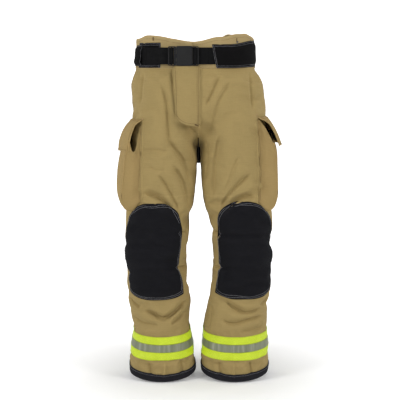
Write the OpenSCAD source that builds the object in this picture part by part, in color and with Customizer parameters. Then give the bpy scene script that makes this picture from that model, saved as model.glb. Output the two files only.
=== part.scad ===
// Structural fire-fighting turnout trousers, standing as worn. Millimetres.
// +Z is up, the wearer faces -Y, and the wearer's left is +X.
// The origin is on the floor, under the middle of the garment.

/* [Garment] */
// Scale of every girth, front to back
depth_scale = 1.0; // [0.97:0.01:1.03]
// Thickness of the outer-shell cloth with its seam allowances
shell_t = 2.0; // [1.6:0.1:2.2]
// Gap left between two neighbouring layers of cloth
layer_gap = 0.5; // [0.4:0.1:0.6]
// Thickness of the moisture barrier
barrier_t = 0.8; // [0.6:0.1:0.9]
// Thickness of the quilted thermal liner
liner_t = 3.0; // [2.4:0.1:3.2]
// Forward shift that centres the whole garment on the origin
frame_y = 3.8; // [0:0.1:6]

/* [Hip and knee] */
// Height of the hip axis above the floor
hip_z = 690; // [685:1:694]
// Radius of the round hip opening, seen from the side
hip_r = 156; // [155:1:158]
// Height of the knee axis above the floor
knee_z = 413; // [408:1:418]
// Radius of the round knee opening, seen from the side
knee_r = 113; // [112:1:115]
// Clearance between two cloth sections that turn past each other
swing_gap = 3; // [2:0.5:4]
// Half width of the crotch gusset strip
gusset_w = 12; // [10:1:14]

/* [Waist] */
// Height of the waistband's top edge at the sides
waist_side_z = 1043; // [1038:1:1046]
// Height of the waistband's top edge at the front and back
waist_dip_z = 1018; // [1014:1:1022]
// Height of the seam that joins the waistband to the seat
waist_seam_z = 941; // [938:1:943]
// Middle height of the belt
belt_z = 978; // [976:1:980]
// Width of the belt webbing
belt_w = 50; // [48:1:51]
// Thickness of the belt webbing
belt_t = 2.2; // [1.8:0.1:2.4]

/* [Buckle] */
// Height of the side-release buckle's socket
buckle_h = 59; // [57:1:60]
// Thickness of the socket
buckle_t = 12; // [11:0.5:12]
// Travel of a latch arm's shoulder, in degrees at the arm's root
latch_deg = 5; // [4:1:6]

/* [Fly] */
// Width of the fly flap
fly_w = 72; // [68:1:74]
// Height of the fly flap's lower end
fly_bottom_z = 774; // [772:1:778]
// Height of the fly flap's upper end, just under the belt
fly_top_z = 948; // [944:1:949]

/* [Pockets] */
// Height of the bottom of the cargo pocket
pocket_bottom_z = 517; // [514:1:522]
// Height of the open mouth of the cargo pocket
pocket_top_z = 768; // [764:1:770]
// Distance of the pocket's outer face from the middle
pocket_x = 244; // [240:1:246]
// Height of the pocket flap's hinge line
flap_hinge_z = 789; // [787:1:791]

/* [Trim] */
// Width of each reflective stripe
stripe_w = 23.5; // [21:0.5:23.5]
// Height of the binding tape at the hem
binding_h = 22; // [18:1:24]

/* [Hidden] */

tan = [0.66, 0.57, 0.38];
black = [0.11, 0.11, 0.12];
lime = [0.80, 0.88, 0.24];
silver = [0.55, 0.57, 0.50];
quilt = [0.72, 0.66, 0.48];
metal = [0.62, 0.60, 0.55];

HEM_SIDE = 21;    // height of the hem at the side seams
HEM_TILT = 14.7;  // the hem is cut lower at the front than at the heel
FAR = 700;
P = 32;           // points round a cross section of the outer cloth

// ---- cross sections of the garment's outer surface ----
// One leg: middle x, half width, middle y, half depth, at each height.
LEG_Z  = [-12, 66, 161, 200, 240, 280, 340, 400, 460, 510, 560, 620, 690, 740, 800];
LEG_CX = [[-12,110],[50,110],[90,111],[125,112],[161,113],[200,114],[235,118],[270,122],[310,127],[345,130],[400,131],[436,129.5],[475,127],[510,120],[546,113],[582,109],[620,106],[660,104],[700,103],[735,102],[800,101]];
LEG_A  = [[-12,100],[50,100],[90,97],[125,92],[161,88],[200,89],[235,91],[270,90],[310,88],[345,87],[400,88],[436,89],[475,92],[510,94],[546,98],[582,101],[620,101],[660,101],[700,101],[735,101],[800,97]];
LEG_CY = [[-12,5],[235,5],[310,3],[400,0],[475,0],[620,3],[700,5],[800,5]];
LEG_B  = [[-12,82],[90,82],[125,80],[200,82],[310,84],[400,86],[475,90],[546,98],[620,108],[700,120],[735,124],[800,122]];

// The seat, from the crotch to the waist.
SEAT_Z  = [698, 712, 735, 760, 800, 850, 900, 927, 964, 1048];
SEAT_CX = [[698,0],[760,0],[850,-2],[900,-3],[927,-5],[964,-9.5],[1048,-10]];
SEAT_A  = [[698,60],[712,130],[735,188],[760,199],[800,200],[850,200],[900,198],[927,192],[964,178],[1048,176]];
SEAT_B  = [[698,60],[712,100],[735,120],[760,128],[800,131],[850,132],[900,130],[927,126],[964,118],[1048,117]];
SEAT_CY = [[698,5],[900,5],[927,4],[964,2],[1048,2]];

function signed(v, e) = (v < 0 ? -1 : 1) * pow(abs(v), e);
function oval(cx, cy, a, b, n, k) = [for (i = [0:k:P-1]) let (t = 360*(i + 0.5)/P)
    [cx + a*signed(cos(t), 2/n), cy + b*signed(sin(t), 2/n)]];
function leg_oval(z, off, k) = oval(lookup(z, LEG_CX), lookup(z, LEG_CY),
    lookup(z, LEG_A) + off, lookup(z, LEG_B)*depth_scale + off, 2.25, k);
function seat_oval(z, off, k) = oval(lookup(z, SEAT_CX), lookup(z, SEAT_CY),
    lookup(z, SEAT_A) + off, lookup(z, SEAT_B)*depth_scale + off, 2.4, k);

// The length of body between two cross sections at z0 and z1.
module span(p0, z0, p1, z1) {
    n = len(p0);
    hull() polyhedron(points = concat([for (p = p0) [p[0], p[1], z0]], [for (p = p1) [p[0], p[1], z1]]),
        faces = [[for (i = [0:n-1]) i], [for (i = [2*n-1:-1:n]) i]]);
}
// A solid leg or seat, offset outwards by off, over the sections that enclose z0 to z1.
// k = 2 keeps every second point, which is enough for the linings.
module leg(off, z0, z1, k = 1) {
    zs = [for (z = LEG_Z) if (z > z0 - 75 && z < z1 + 75) z];
    for (i = [0:len(zs)-2]) span(leg_oval(zs[i], off, k), zs[i], leg_oval(zs[i+1], off, k), zs[i+1]);
}
module seat(off, z0 = 0, z1 = 2000, k = 1) {
    zs = [for (z = SEAT_Z) if (z > z0 - 85 && z < z1 + 85) z];
    for (i = [0:len(zs)-2]) span(seat_oval(zs[i], off, k), zs[i], seat_oval(zs[i+1], off, k), zs[i+1]);
}
// The round openings at the hip and knee: cylinders along X.
module hip_round(r) { translate([0, 5, hip_z]) rotate([0, 90, 0]) cylinder(r = r, h = 2*FAR, center = true, $fn = 60); }
module knee_round(r) { translate([0, 0, knee_z]) rotate([0, 90, 0]) cylinder(r = r, h = 2*FAR, center = true, $fn = 48); }
module above(z) { translate([-FAR, -FAR, z]) cube([2*FAR, 2*FAR, 2*FAR]); }
module below(z) { translate([-FAR, -FAR, z - 2*FAR]) cube([2*FAR, 2*FAR, 2*FAR]); }
module front_of(y) { translate([-FAR, y - 2*FAR, -FAR]) cube([2*FAR, 2*FAR, 4*FAR]); }
module behind(y) { translate([-FAR, y, -FAR]) cube([2*FAR, 2*FAR, 4*FAR]); }
module left_of(x) { translate([x, -FAR, -FAR]) cube([2*FAR, 2*FAR, 4*FAR]); }
module right_of(x) { translate([x - 2*FAR, -FAR, -FAR]) cube([2*FAR, 2*FAR, 4*FAR]); }
module under_hem(h) { translate([0, 0, HEM_SIDE + h]) rotate([HEM_TILT, 0, 0]) translate([-FAR, -FAR, -FAR]) cube([2*FAR, 2*FAR, FAR]); }

// ---- layers ----
module seat_layer(o1, o2, z1, k = 1) {
    difference() {
        seat(o1, 740, z1, k);
        seat(o2, 700, z1 + 90, k);
        hip_round(hip_r + swing_gap/2);
        below(hip_z);
        above(z1);
    }
}
module thigh_layer(o1, o2, k = 1) {
    difference() {
        intersection() {
            union() { leg(o1, knee_z, 800, k); intersection() { seat(o1, 700, 860, k); above(699); } }
            union() { hip_round(hip_r - swing_gap/2); below(hip_z); }
        }
        leg(o2, knee_z - 90, 820, k);
        seat(o2, 690, 900, k);
        knee_round(knee_r + swing_gap/2);
        below(knee_z);
        right_of(gusset_w + 1.5);
    }
}
module shin_layer(o1, o2, k = 1) {
    difference() {
        intersection() {
            leg(o1, -12, knee_z + 60, k);
            union() { knee_round(knee_r - swing_gap/2); below(knee_z); }
        }
        leg(o2, -40, knee_z + 120, k);
        under_hem(2.6);
    }
}

// ---- seat ----
FLY_X = -36;  // middle of the zip
SHELL = -shell_t;
BAR1 = SHELL - layer_gap;
BAR2 = BAR1 - barrier_t;
LIN1 = BAR2 - layer_gap;
LIN2 = LIN1 - liner_t;

module seat_front_left() { color(tan) intersection() { seat_layer(0, SHELL, waist_seam_z); front_of(3.8); left_of(FLY_X + 3); } }
module seat_front_right() { color(tan) intersection() { seat_layer(0, SHELL, waist_seam_z); front_of(3.8); right_of(FLY_X - 3); } }
module seat_back_left() { color(tan) intersection() { seat_layer(0, SHELL, waist_seam_z); behind(4.2); left_of(-1.8); } }
module seat_back_right() { color(tan) intersection() { seat_layer(0, SHELL, waist_seam_z); behind(4.2); right_of(-2.2); } }
module seat_moisture_barrier() { color([0.85, 0.85, 0.80]) difference() { seat_layer(BAR1, BAR2, waist_seam_z - 2, 2); translate([FLY_X - 4, -FAR, 0]) cube([8, FAR, 2*FAR]); } }
module seat_thermal_liner() { color(quilt) difference() { seat_layer(LIN1, LIN2, waist_seam_z - 2, 2); translate([FLY_X - 4, -FAR, 0]) cube([8, FAR, 2*FAR]); } }

// The strip that joins the two legs under the crotch.
module crotch_gusset() {
    y0 = -126; y1 = 136;
    color(tan) intersection() {
        translate([-gusset_w + 1.5, 0, 0]) rotate([90, 0, 90]) linear_extrude(height = 2*gusset_w - 3) difference() {
            polygon([for (a = [0:7.5:180]) [5 + 129*cos(a), 765 - 72*sin(a)]]);
            polygon([for (a = [0:7.5:180]) [5 + 127*cos(a), 766 - 70.5*sin(a)]]);
        }
        hip_round(hip_r - swing_gap/2);
    }
}

// ---- waist ----
module waist_top() {  // keeps what is under the dipped top edge
    rotate([90, 0, 0]) linear_extrude(height = 2*FAR, center = true) polygon(concat(
        [[-260, 700], [240, 700]],
        [for (x = [240, 162, 120, 75, 30, -50, -95, -140, -182, -260]) [x, waist_dip_z + (waist_side_z - waist_dip_z)*min(1, pow((x + 10)/172, 2))]]));
}
module waist_ring(o1, o2, z0, z1) {
    difference() {
        intersection() { seat(o1, z0, z1); above(z0); below(z1); waist_top(); }
        seat(o2, z0 - 40, z1 + 60);
    }
}
module fly_slot(w) { translate([FLY_X - w/2, -FAR, 700]) cube([w, FAR, FAR]); }
module waistband() { color(tan) difference() { waist_ring(1.5, -2, waist_seam_z + 0.5, 1060); fly_slot(4); brace_sites() translate([0, 0, -20]) cylinder(r = 1.6, h = 40, $fn = 24); } }
module waistband_lining() { color(black) difference() { waist_ring(-2.4, -3.8, waist_seam_z + 0.5, 1060); fly_slot(4); brace_sites() translate([0, 0, -20]) cylinder(r = 1.6, h = 40, $fn = 24); } }

// Belt: a ring of webbing round the waist, open where the buckle closes it.
BELT_IN = 2.4;
module belt_ring(o1, o2, h) {
    difference() {
        intersection() { seat(o1, belt_z - 60, belt_z + 60); above(belt_z - h/2); below(belt_z + h/2); }
        seat(o2, belt_z - 90, belt_z + 90);
    }
}
module belt_webbing() {
    color(black) union() {
        difference() {
            belt_ring(BELT_IN + belt_t, BELT_IN, belt_w);
            translate([-164, -FAR, 0]) cube([179, FAR - 20, 2*FAR]);  // open over the front, between the keeper and the buckle
        }
    }
}
module belt_tongue() {  // the run of webbing from the keeper to the moving half of the buckle
    color(black) intersection() {
        belt_ring(BELT_IN + belt_t, BELT_IN, belt_w);
        front_of(-20);
        translate([-163.5, -FAR, 0]) cube([69, FAR, 2*FAR]);
    }
}
// A stitched sleeve that the belt runs through: flat on the waistband along its upper and lower edges.
module sleeve(h) {
    difference() {
        belt_ring(BELT_IN + belt_t + 2.6, 2.0, h);
        belt_ring(BELT_IN + belt_t + 0.8, 0, h - 16);
    }
}
module belt_tunnel_left() { color(black) intersection() { sleeve(76); left_of(37); front_of(60); } }
module belt_patch_right() {
    color(black) intersection() {
        difference() { belt_ring(1.95, 1.6, 76); below(0); }
        right_of(-112);
        front_of(60);
    }
}
module belt_keeper_right() { color(black) intersection() { sleeve(66); right_of(-164); front_of(-14); } }
module belt_loop_back() { color(black) intersection() { sleeve(70); behind(90); union() { translate([-35, 0, 0]) cube([50, FAR, 2*FAR]); translate([-120, 0, 0]) cube([30, FAR, 2*FAR]); translate([70, 0, 0]) cube([30, FAR, 2*FAR]); } } }

// ---- buckle ----
BY = -127.6;        // mid thickness of the buckle
SX0 = -67; SX1 = -21;   // socket body
module socket_block(x0, x1, t, h, r = 3) {
    translate([x0, BY, belt_z]) rotate([90, 0, 0]) linear_extrude(height = t, center = true) hull()
        for (x = [r, x1 - x0 - r], z = [-h/2 + r, h/2 - r]) translate([x, z]) circle(r = r, $fn = 32);
}
module box_at(x0, x1, y0, y1, z0, z1) { translate([x0, y0, z0]) cube([x1 - x0, y1 - y0, z1 - z0]); }
module buckle_socket() {
    color(black) difference() {
        union() {
            socket_block(SX0, SX1, buckle_t, buckle_h);
            socket_block(SX1 - 4, -1, 8, buckle_h - 2);
        }
        // cavity for the insert
        box_at(SX0 - 1, SX1 - 6, BY - buckle_t/2 + 2, BY + buckle_t/2 - 2, belt_z - 26.5, belt_z + 26.5);
        // side windows for the latch shoulders
        box_at(SX0 + 10, SX0 + 26, BY - 4.5, BY + 4.5, belt_z + 20, belt_z + 40);
        box_at(SX0 + 10, SX0 + 26, BY - 4.5, BY + 4.5, belt_z - 40, belt_z - 20);
        // webbing slots either side of the bar
        box_at(-18, -13.5, BY - 10, BY + 10, belt_z - 26, belt_z + 26);
        box_at(-9, -4, BY - 10, BY + 10, belt_z - 26, belt_z + 26);
    }
}
module buckle_insert() {
    color(black) union() {
        difference() {
            socket_block(-91, SX0 - 0.6, 9, buckle_h - 2);
            box_at(-87.5, -83, BY - 10, BY + 10, belt_z - 26, belt_z + 26);
            box_at(-79, -74.5, BY - 10, BY + 10, belt_z - 26, belt_z + 26);
            for (s = [-1, 1]) box_at(-69.4, -60, BY - 2.5, BY + 2.5, belt_z + s*20 - 4.2, belt_z + s*20 + 4.2);
        }
        // centre guide tongue
        box_at(-70, SX1 - 14, BY - 2.5, BY + 2.5, belt_z - 6, belt_z + 6);
        // round lugs that the latch arms turn on
        for (s = [-1, 1]) translate([-65.4, BY, belt_z + s*20]) rotate([90, 0, 0]) cylinder(r = 1.5, h = 6.4, center = true, $fn = 32);
        for (s = [-1, 1]) box_at(-69, -65.4, BY - 3.2, BY - 2.5, belt_z + s*20 - 1.5, belt_z + s*20 + 1.5);
        for (s = [-1, 1]) box_at(-69, -65.4, BY + 2.5, BY + 3.2, belt_z + s*20 - 1.5, belt_z + s*20 + 1.5);
    }
}
module latch_arm(s) {
    color(black) difference() {
        union() {
            translate([-65.4, BY, belt_z + s*20]) rotate([90, 0, 0]) cylinder(r = 3, h = 4.6, center = true, $fn = 48);
            translate([0, BY, 0]) rotate([90, 0, 0]) linear_extrude(height = 4.6, center = true)
                polygon([[-65.4, belt_z + s*17.6], [-40, belt_z + s*17], [-38, belt_z + s*19.5], [-41.6, belt_z + s*25], [-43, belt_z + s*26.2],
                         [-56, belt_z + s*26.2], [-56.4, belt_z + s*22.6], [-65.4, belt_z + s*22.4]]);
        }
        translate([-65.4, BY, belt_z + s*20]) rotate([90, 0, 0]) cylinder(r = 1.55, h = 20, center = true, $fn = 48);
    }
}
module buckle_latch_upper() { latch_arm(1); }
module buckle_latch_lower() { latch_arm(-1); }

// ---- fly ----
module fly_outline(x0, x1, z0, z1, r) {  // straight at the wearer's left, rounded at the lower right
    rotate([90, 0, 0]) linear_extrude(height = 2*FAR) polygon(concat(
        [[x1, z1], [x0, z1]],
        [for (a = [180:10:270]) [x0 + r + r*cos(a), z0 + 1.35*r + 1.35*r*sin(a)]],
        [[x1, z0]]));
}
module seat_skin(o1, o2, k = 1) { difference() { seat(o1, 700, 1000, k); seat(o2, 660, 1060, k); } }
module fly_flap() { color(tan) intersection() { seat_skin(12.2, 10); fly_outline(-fly_w, -0.6, fly_bottom_z, fly_top_z, 36); } }
module fly_hook_tape() { color(black) intersection() { seat_skin(9.6, 7.6); translate([-69, -FAR, 800]) cube([17, FAR, 132]); } }
module fly_placket() {
    color(tan) intersection() { seat_skin(12.2, 1.7); fly_outline(0.6, 7, fly_bottom_z, fly_top_z, 1); }
}
module fly_shield() { color(tan) intersection() { seat_skin(LIN2 - 0.5, LIN2 - 2.5, 2); fly_outline(-68, -4, fly_bottom_z + 14, waist_seam_z - 3, 20); } }

// Zip: built in its own flat frame, then tipped to the line of the front.
ZIP_BOTTOM = 790; ZIP_TILT = 1.53;
module in_zip() { translate([FLY_X, -128.6, ZIP_BOTTOM]) rotate([-ZIP_TILT, 0, 0]) children(); }
ZIP_L = 146;
module zip_tape() {
    color(black) in_zip() union() {
        translate([-16, -0.4, 0]) cube([14.6, 0.8, ZIP_L]);
        translate([1.4, -0.4, 0]) cube([14.6, 0.8, ZIP_L]);
    }
}
module zip_teeth() {
    color(metal) in_zip() for (i = [0:41]) {
        translate([-3, -1.4, 4 + i*3.2]) cube([4.6, 0.9, 1.3]);
        translate([-1.6, -1.4, 4 + 1.6 + i*3.2]) cube([4.6, 0.9, 1.3]);
    }
}
SLIDER_Z = 126;
module zip_slider() {
    color(metal) in_zip() union() {
        translate([0, -1.9, SLIDER_Z + 7]) rotate([90, 0, 0]) linear_extrude(height = 1.2) hull() {
            translate([-3, -5]) circle(r = 1.5, $fn = 24); translate([3, -5]) circle(r = 1.5, $fn = 24);
            translate([-4.5, 4]) circle(r = 1.5, $fn = 24); translate([4.5, 4]) circle(r = 1.5, $fn = 24);
        }
        for (x = [-3, 1.6]) translate([x, -5, SLIDER_Z + 3]) cube([1.4, 2, 3]);
        translate([0, -4.5, SLIDER_Z + 4.5]) rotate([0, 90, 0]) cylinder(r = 0.7, h = 6, center = true, $fn = 32);
    }
}
module zip_pull() {
    color(metal) in_zip() difference() {
        union() {
            translate([0, -4.5, SLIDER_Z + 4.5]) rotate([0, 90, 0]) cylinder(r = 1.2, h = 2.6, center = true, $fn = 32);
            translate([-1.3, -5.1, SLIDER_Z - 2]) cube([2.6, 1.2, 5.6]);
            translate([-3, -5.1, SLIDER_Z - 21]) cube([6, 1.2, 19.2]);
        }
        translate([0, -4.5, SLIDER_Z + 4.5]) rotate([0, 90, 0]) cylinder(r = 0.75, h = 20, center = true, $fn = 32);
        translate([0, 0, SLIDER_Z - 17]) rotate([90, 0, 0]) cylinder(r = 1.6, h = 20, $fn = 32);
    }
}
// The snap that closes the waistband's two ends behind the buckle, on a short inner tab.
module waist_snap() {
    color(metal) for (x = [-1, 1]) translate([FLY_X + x*16, -106.8, 1004]) rotate([90, 0, 0]) union() {
        cylinder(r = 6.5, h = 1.4, $fn = 48);
        translate([0, 0, -2.4]) cylinder(r = 4.2, h = 2.5, $fn = 48);
    }
    color(metal) translate([FLY_X - 20, -104.6, 999]) cube([40, 1.2, 10]);
}

// Brace buttons: heads on the inner face, a slim post through the band, a small washer outside.
BRACE = [[113, -1, 1020], [-133, -1, 1020], [45, 1, 1009], [-65, 1, 1009]];  // x, side (front -1, back +1), height
function band_y(x, s) = let (u = (x + 10)/176, f = pow(max(0, 1 - pow(abs(u), 2.4)), 1/2.4)) 2 + s*117*f;
function band_dir(x, s) = let (u = (x + 10)/176, f = pow(max(0.001, 1 - pow(abs(u), 2.4)), 1/2.4),
    nx = signed(u, 1.4)/176, ny = s*pow(f, 1.4)/117) atan2(ny, nx);
module brace_sites() {  // each child points inwards along +Z from the band's mid surface
    for (b = BRACE) translate([b[0], band_y(b[0], b[1]), b[2]]) rotate([0, 0, band_dir(b[0], b[1])]) rotate([0, -90, 0]) children();
}
module brace_buttons() {
    color(metal) brace_sites() union() {
        translate([0, 0, -3.2]) cylinder(r = 3.4, h = 1, $fn = 48);
        translate([0, 0, -3]) cylinder(r = 1.5, h = 11, $fn = 32);
        translate([0, 0, 5.2]) cylinder(r = 4, h = 2.4, $fn = 48);
        translate([0, 0, 7]) cylinder(r = 8.5, h = 3, $fn = 64);
    }
}

// ---- one leg, written for the wearer's left and mirrored for the right ----
module thigh_front() { color(tan) intersection() { thigh_layer(0, SHELL); front_of(3.8); } }
module thigh_back() { color(tan) intersection() { thigh_layer(0, SHELL); behind(4.2); } }
module thigh_liner() { color(quilt) thigh_layer(LIN1, LIN2, 2); }
module shin_front() { color(tan) intersection() { shin_layer(0, SHELL); front_of(3.8); } }
module shin_back() { color(tan) intersection() { shin_layer(0, SHELL); behind(4.2); } }
module shin_liner() { color(quilt) shin_layer(LIN1, LIN2, 2); }

// Knee patch: outline seen from the front, turned outwards a little with the leg.
KNEE_TURN = 8;
module knee_outline(inset) {
    i = inset;
    translate([131, 0, 0]) rotate([0, 0, KNEE_TURN]) translate([5, 0, 0]) rotate([90, 0, 0]) linear_extrude(height = FAR) polygon(concat(
        [for (a = [0:12:180]) [(80 - i)*cos(a), 458 + (84 - i)*sin(a)]],
        [[-80 + i, 350], [-76 + i, 264 + i], [-40, 256 + i], [10, 251 + i], [60, 258 + i], [76 - i, 286 + i], [80 - i, 350]]));
}
module knee_tray() {
    difference() {
        intersection() { difference() { leg(8.6, 240, 560); leg(0.4, 200, 600); } knee_outline(0); }
        intersection() { leg(6.4, 220, 580); knee_outline(7); }
    }
}
module knee_patch_upper() { color(black) difference() { knee_tray(); knee_round(knee_r + swing_gap/2); below(knee_z); } }
module knee_patch_lower() { color(black) intersection() { knee_tray(); union() { knee_round(knee_r - swing_gap/2); below(knee_z); } } }
module knee_pad() {
    color([0.25, 0.25, 0.27]) intersection() {
        difference() { leg(6, 300, 500); leg(0.6, 260, 540); }
        knee_outline(14);
        above(knee_z - 46); below(knee_z + 44);
    }
}

// Cargo pocket: a bellows box on the outside of the thigh, open at the top.
module pocket_plan(inset) {
    i = inset;
    polygon([[150, -70 + i], [214 - i, -72 + i], [232 - i, -66 + i], [238 - i, -50], [pocket_x - i, -10], [pocket_x - i, 40],
             [238 - i, 80], [230 - i, 92 - i], [206 - i, 94 - i], [150, 92 - i]]);
}
module pocket_body() {
    color(tan) difference() {
        translate([0, 0, pocket_bottom_z]) linear_extrude(height = pocket_top_z - pocket_bottom_z) pocket_plan(0);
        translate([0, 0, pocket_bottom_z + 2.5]) linear_extrude(height = 400) pocket_plan(2.5);
        leg(0.5, 500, 800);
        intersection() { seat(0.5, 700, 900); above(699); }
        intersection() { leg(9.4, 500, 552); knee_outline(-1.5); }  // room for the knee patch
    }
}
FLAP_X = 204.5;  // hinge line of the pocket flap
function arc(cx, cz, r, a0, a1, k) = [for (j = [0:k]) let (a = a0 + (a1 - a0)*j/k) [cx + r*cos(a), cz + r*sin(a)]];
module pocket_flap() {
    color(tan) translate([0, 97, 0]) rotate([90, 0, 0]) linear_extrude(height = 172) polygon(concat(
        [[FLAP_X, flap_hinge_z + 1.4], [FLAP_X + 6, flap_hinge_z + 1.4]],
        arc(FLAP_X + 6, flap_hinge_z - 42.6, 44, 80, 10, 7),
        [[FLAP_X + 51, flap_hinge_z - 101], [FLAP_X + 48, flap_hinge_z - 101]],
        arc(FLAP_X + 6, flap_hinge_z - 42.6, 41, 10, 80, 7),
        [[FLAP_X + 6, flap_hinge_z - 1.6], [FLAP_X, flap_hinge_z - 1.6]]));
}
module pocket_hook_tape() {
    color(black) for (y = [-52, 26]) translate([0, y + 52, 0]) rotate([90, 0, 0]) linear_extrude(height = 52) polygon([
        [FLAP_X + 46.0, flap_hinge_z - 52], [FLAP_X + 47.2, flap_hinge_z - 96], [FLAP_X + 44.9, flap_hinge_z - 96], [FLAP_X + 43.7, flap_hinge_z - 52]]);
}

// Reflective trim round the lower leg, a little lower at the front.
module slab(z0, z1, tilt) { translate([0, 0, z0]) rotate([tilt, 0, 0]) translate([-FAR, -FAR, 0]) cube([2*FAR, 2*FAR, (z1 - z0) * cos(tilt)]); }
module trim_band(z0, z1, o) { intersection() { difference() { leg(o, 40, 220); leg(0.3, 0, 260); } slab(z0, z1, TRIM_TILT); } }
TRIM_Z = 78; TRIM_TILT = 9.1;
module trim_lime() { color(lime) union() { trim_band(TRIM_Z, TRIM_Z + stripe_w, 1.5); trim_band(TRIM_Z + 2*stripe_w, TRIM_Z + 3*stripe_w, 1.5); } }
module trim_silver() { color(silver) trim_band(TRIM_Z + stripe_w + 0.2, TRIM_Z + 2*stripe_w - 0.2, 1.9); }
module hem_binding() {
    color(black) difference() {
        intersection() { leg(2, -12, 120); slab(HEM_SIDE, HEM_SIDE + binding_h, HEM_TILT); }
        leg(LIN2 - 2, -40, 160, 2);
        intersection() {
            difference() { leg(0.4, -20, 140); leg(LIN2 - 0.5, -20, 140, 2); }
            slab(HEM_SIDE + 2, HEM_SIDE + 100, HEM_TILT);
        }
    }
}

module right() { mirror([1, 0, 0]) children(); }
module placed() { translate([0, frame_y, 0]) children(); }

placed() seat_front_left();
placed() seat_front_right();
placed() seat_back_left();
placed() seat_back_right();
placed() waistband();
placed() waistband_lining();
placed() crotch_gusset();
placed() seat_moisture_barrier();
placed() seat_thermal_liner();
placed() belt_webbing();
placed() belt_tunnel_left();
placed() belt_patch_right();
placed() belt_keeper_right();
placed() belt_loop_back();
placed() buckle_socket();
placed() buckle_insert();
placed() buckle_latch_upper();
placed() buckle_latch_lower();
placed() belt_tongue();
placed() fly_flap();
placed() fly_hook_tape();
placed() fly_placket();
placed() fly_shield();
placed() zip_tape();
placed() zip_teeth();
placed() zip_slider();
placed() zip_pull();
placed() waist_snap();
placed() brace_buttons();

placed() thigh_front();  // thigh_front_left
placed() thigh_back();  // thigh_back_left
placed() thigh_liner();  // thigh_liner_left
placed() shin_front();  // shin_front_left
placed() shin_back();  // shin_back_left
placed() shin_liner();  // shin_liner_left
placed() knee_patch_upper();  // knee_patch_upper_left
placed() knee_patch_lower();  // knee_patch_lower_left
placed() knee_pad();  // knee_pad_left
placed() pocket_body();  // pocket_body_left
placed() pocket_flap();  // pocket_flap_left
placed() pocket_hook_tape();  // pocket_hook_tape_left
placed() trim_lime();  // trim_lime_left
placed() trim_silver();  // trim_silver_left
placed() hem_binding();  // hem_binding_left

placed() right() thigh_front();  // thigh_front_right
placed() right() thigh_back();  // thigh_back_right
placed() right() thigh_liner();  // thigh_liner_right
placed() right() shin_front();  // shin_front_right
placed() right() shin_back();  // shin_back_right
placed() right() shin_liner();  // shin_liner_right
placed() right() knee_patch_upper();  // knee_patch_upper_right
placed() right() knee_patch_lower();  // knee_patch_lower_right
placed() right() knee_pad();  // knee_pad_right
placed() right() pocket_body();  // pocket_body_right
placed() right() pocket_flap();  // pocket_flap_right
placed() right() pocket_hook_tape();  // pocket_hook_tape_right
placed() right() trim_lime();  // trim_lime_right
placed() right() trim_silver();  // trim_silver_right
placed() right() hem_binding();  // hem_binding_right
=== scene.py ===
import bpy, bmesh, math
import numpy as np
from mathutils import Vector, Matrix
from mathutils.bvhtree import BVHTree


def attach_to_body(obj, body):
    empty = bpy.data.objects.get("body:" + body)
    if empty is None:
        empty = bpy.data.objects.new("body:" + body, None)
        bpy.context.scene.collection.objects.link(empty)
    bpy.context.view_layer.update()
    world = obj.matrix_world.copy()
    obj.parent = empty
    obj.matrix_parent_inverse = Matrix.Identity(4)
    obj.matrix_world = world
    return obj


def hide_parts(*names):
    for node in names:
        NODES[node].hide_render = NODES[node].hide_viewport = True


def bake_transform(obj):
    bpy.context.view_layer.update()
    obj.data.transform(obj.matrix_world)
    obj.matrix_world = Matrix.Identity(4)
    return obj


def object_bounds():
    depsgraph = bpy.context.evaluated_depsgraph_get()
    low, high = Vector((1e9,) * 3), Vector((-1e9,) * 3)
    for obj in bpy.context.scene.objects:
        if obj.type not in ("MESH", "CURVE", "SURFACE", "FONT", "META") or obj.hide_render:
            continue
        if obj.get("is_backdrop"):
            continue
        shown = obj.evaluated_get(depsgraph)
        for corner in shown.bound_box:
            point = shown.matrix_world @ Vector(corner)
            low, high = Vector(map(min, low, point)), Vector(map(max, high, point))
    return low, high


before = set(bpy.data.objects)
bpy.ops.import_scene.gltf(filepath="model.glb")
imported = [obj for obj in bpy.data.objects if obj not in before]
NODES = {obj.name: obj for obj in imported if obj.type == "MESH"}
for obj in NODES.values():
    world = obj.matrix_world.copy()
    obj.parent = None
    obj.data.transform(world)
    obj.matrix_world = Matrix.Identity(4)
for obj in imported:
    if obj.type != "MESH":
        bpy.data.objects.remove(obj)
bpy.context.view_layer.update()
FY = 3.8          # mm, the frame's shift in y
RNG = np.random.default_rng(7)
SIDES = (("left", 1), ("right", -1))   # the wearer's left is +X

# ------------------------------------------------------------------ tables, in mm
# Legs: height, outer edge, inner edge (positive outwards from the middle), for each side.
LEG_T = {
    1: [(-60, 205, 10), (15, 207, 10), (33, 211, 8), (52, 212, 8), (70, 210, 8), (88, 211, 10), (106, 209, 11), (125, 206, 13), (143, 205, 14), (161, 203, 17),
        (180, 206, 20), (198, 208, 23), (216, 210, 26), (234, 212, 29), (271, 215, 35), (308, 216, 41), (344, 218, 44), (381, 220, 44), (399, 218, 44),
        (418, 216, 41), (436, 218, 41), (454, 222, 38), (472, 222, 35), (491, 220, 32), (509, 217, 26), (527, 215, 20), (546, 214, 16), (564, 213, 13),
        (582, 212, 11), (600, 211, 10), (620, 209, 9), (650, 207, 8), (700, 203, 6), (745, 201, 5), (775, 199, 2), (800, 198, -3), (850, 195, -8)],
    -1: [(-60, 209, 14), (15, 210, 14), (33, 211, 11), (52, 210, 15), (70, 209, 17), (88, 207, 17), (106, 204, 20), (125, 201, 25), (143, 198, 28), (161, 198, 32),
        (180, 201, 32), (198, 204, 32), (216, 207, 30), (234, 210, 27), (271, 214, 31), (308, 216, 35), (344, 218, 41), (381, 221, 41), (399, 221, 41),
        (418, 221, 38), (436, 220, 35), (454, 219, 32), (472, 219, 34), (491, 219, 32), (509, 218, 26), (527, 217, 20), (546, 216, 19), (564, 214, 17),
        (582, 213, 15), (600, 211, 12), (620, 209, 10), (650, 207, 9), (700, 203, 7), (745, 201, 6), (775, 199, 2), (800, 198, -3), (850, 195, -8)],
}
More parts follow.
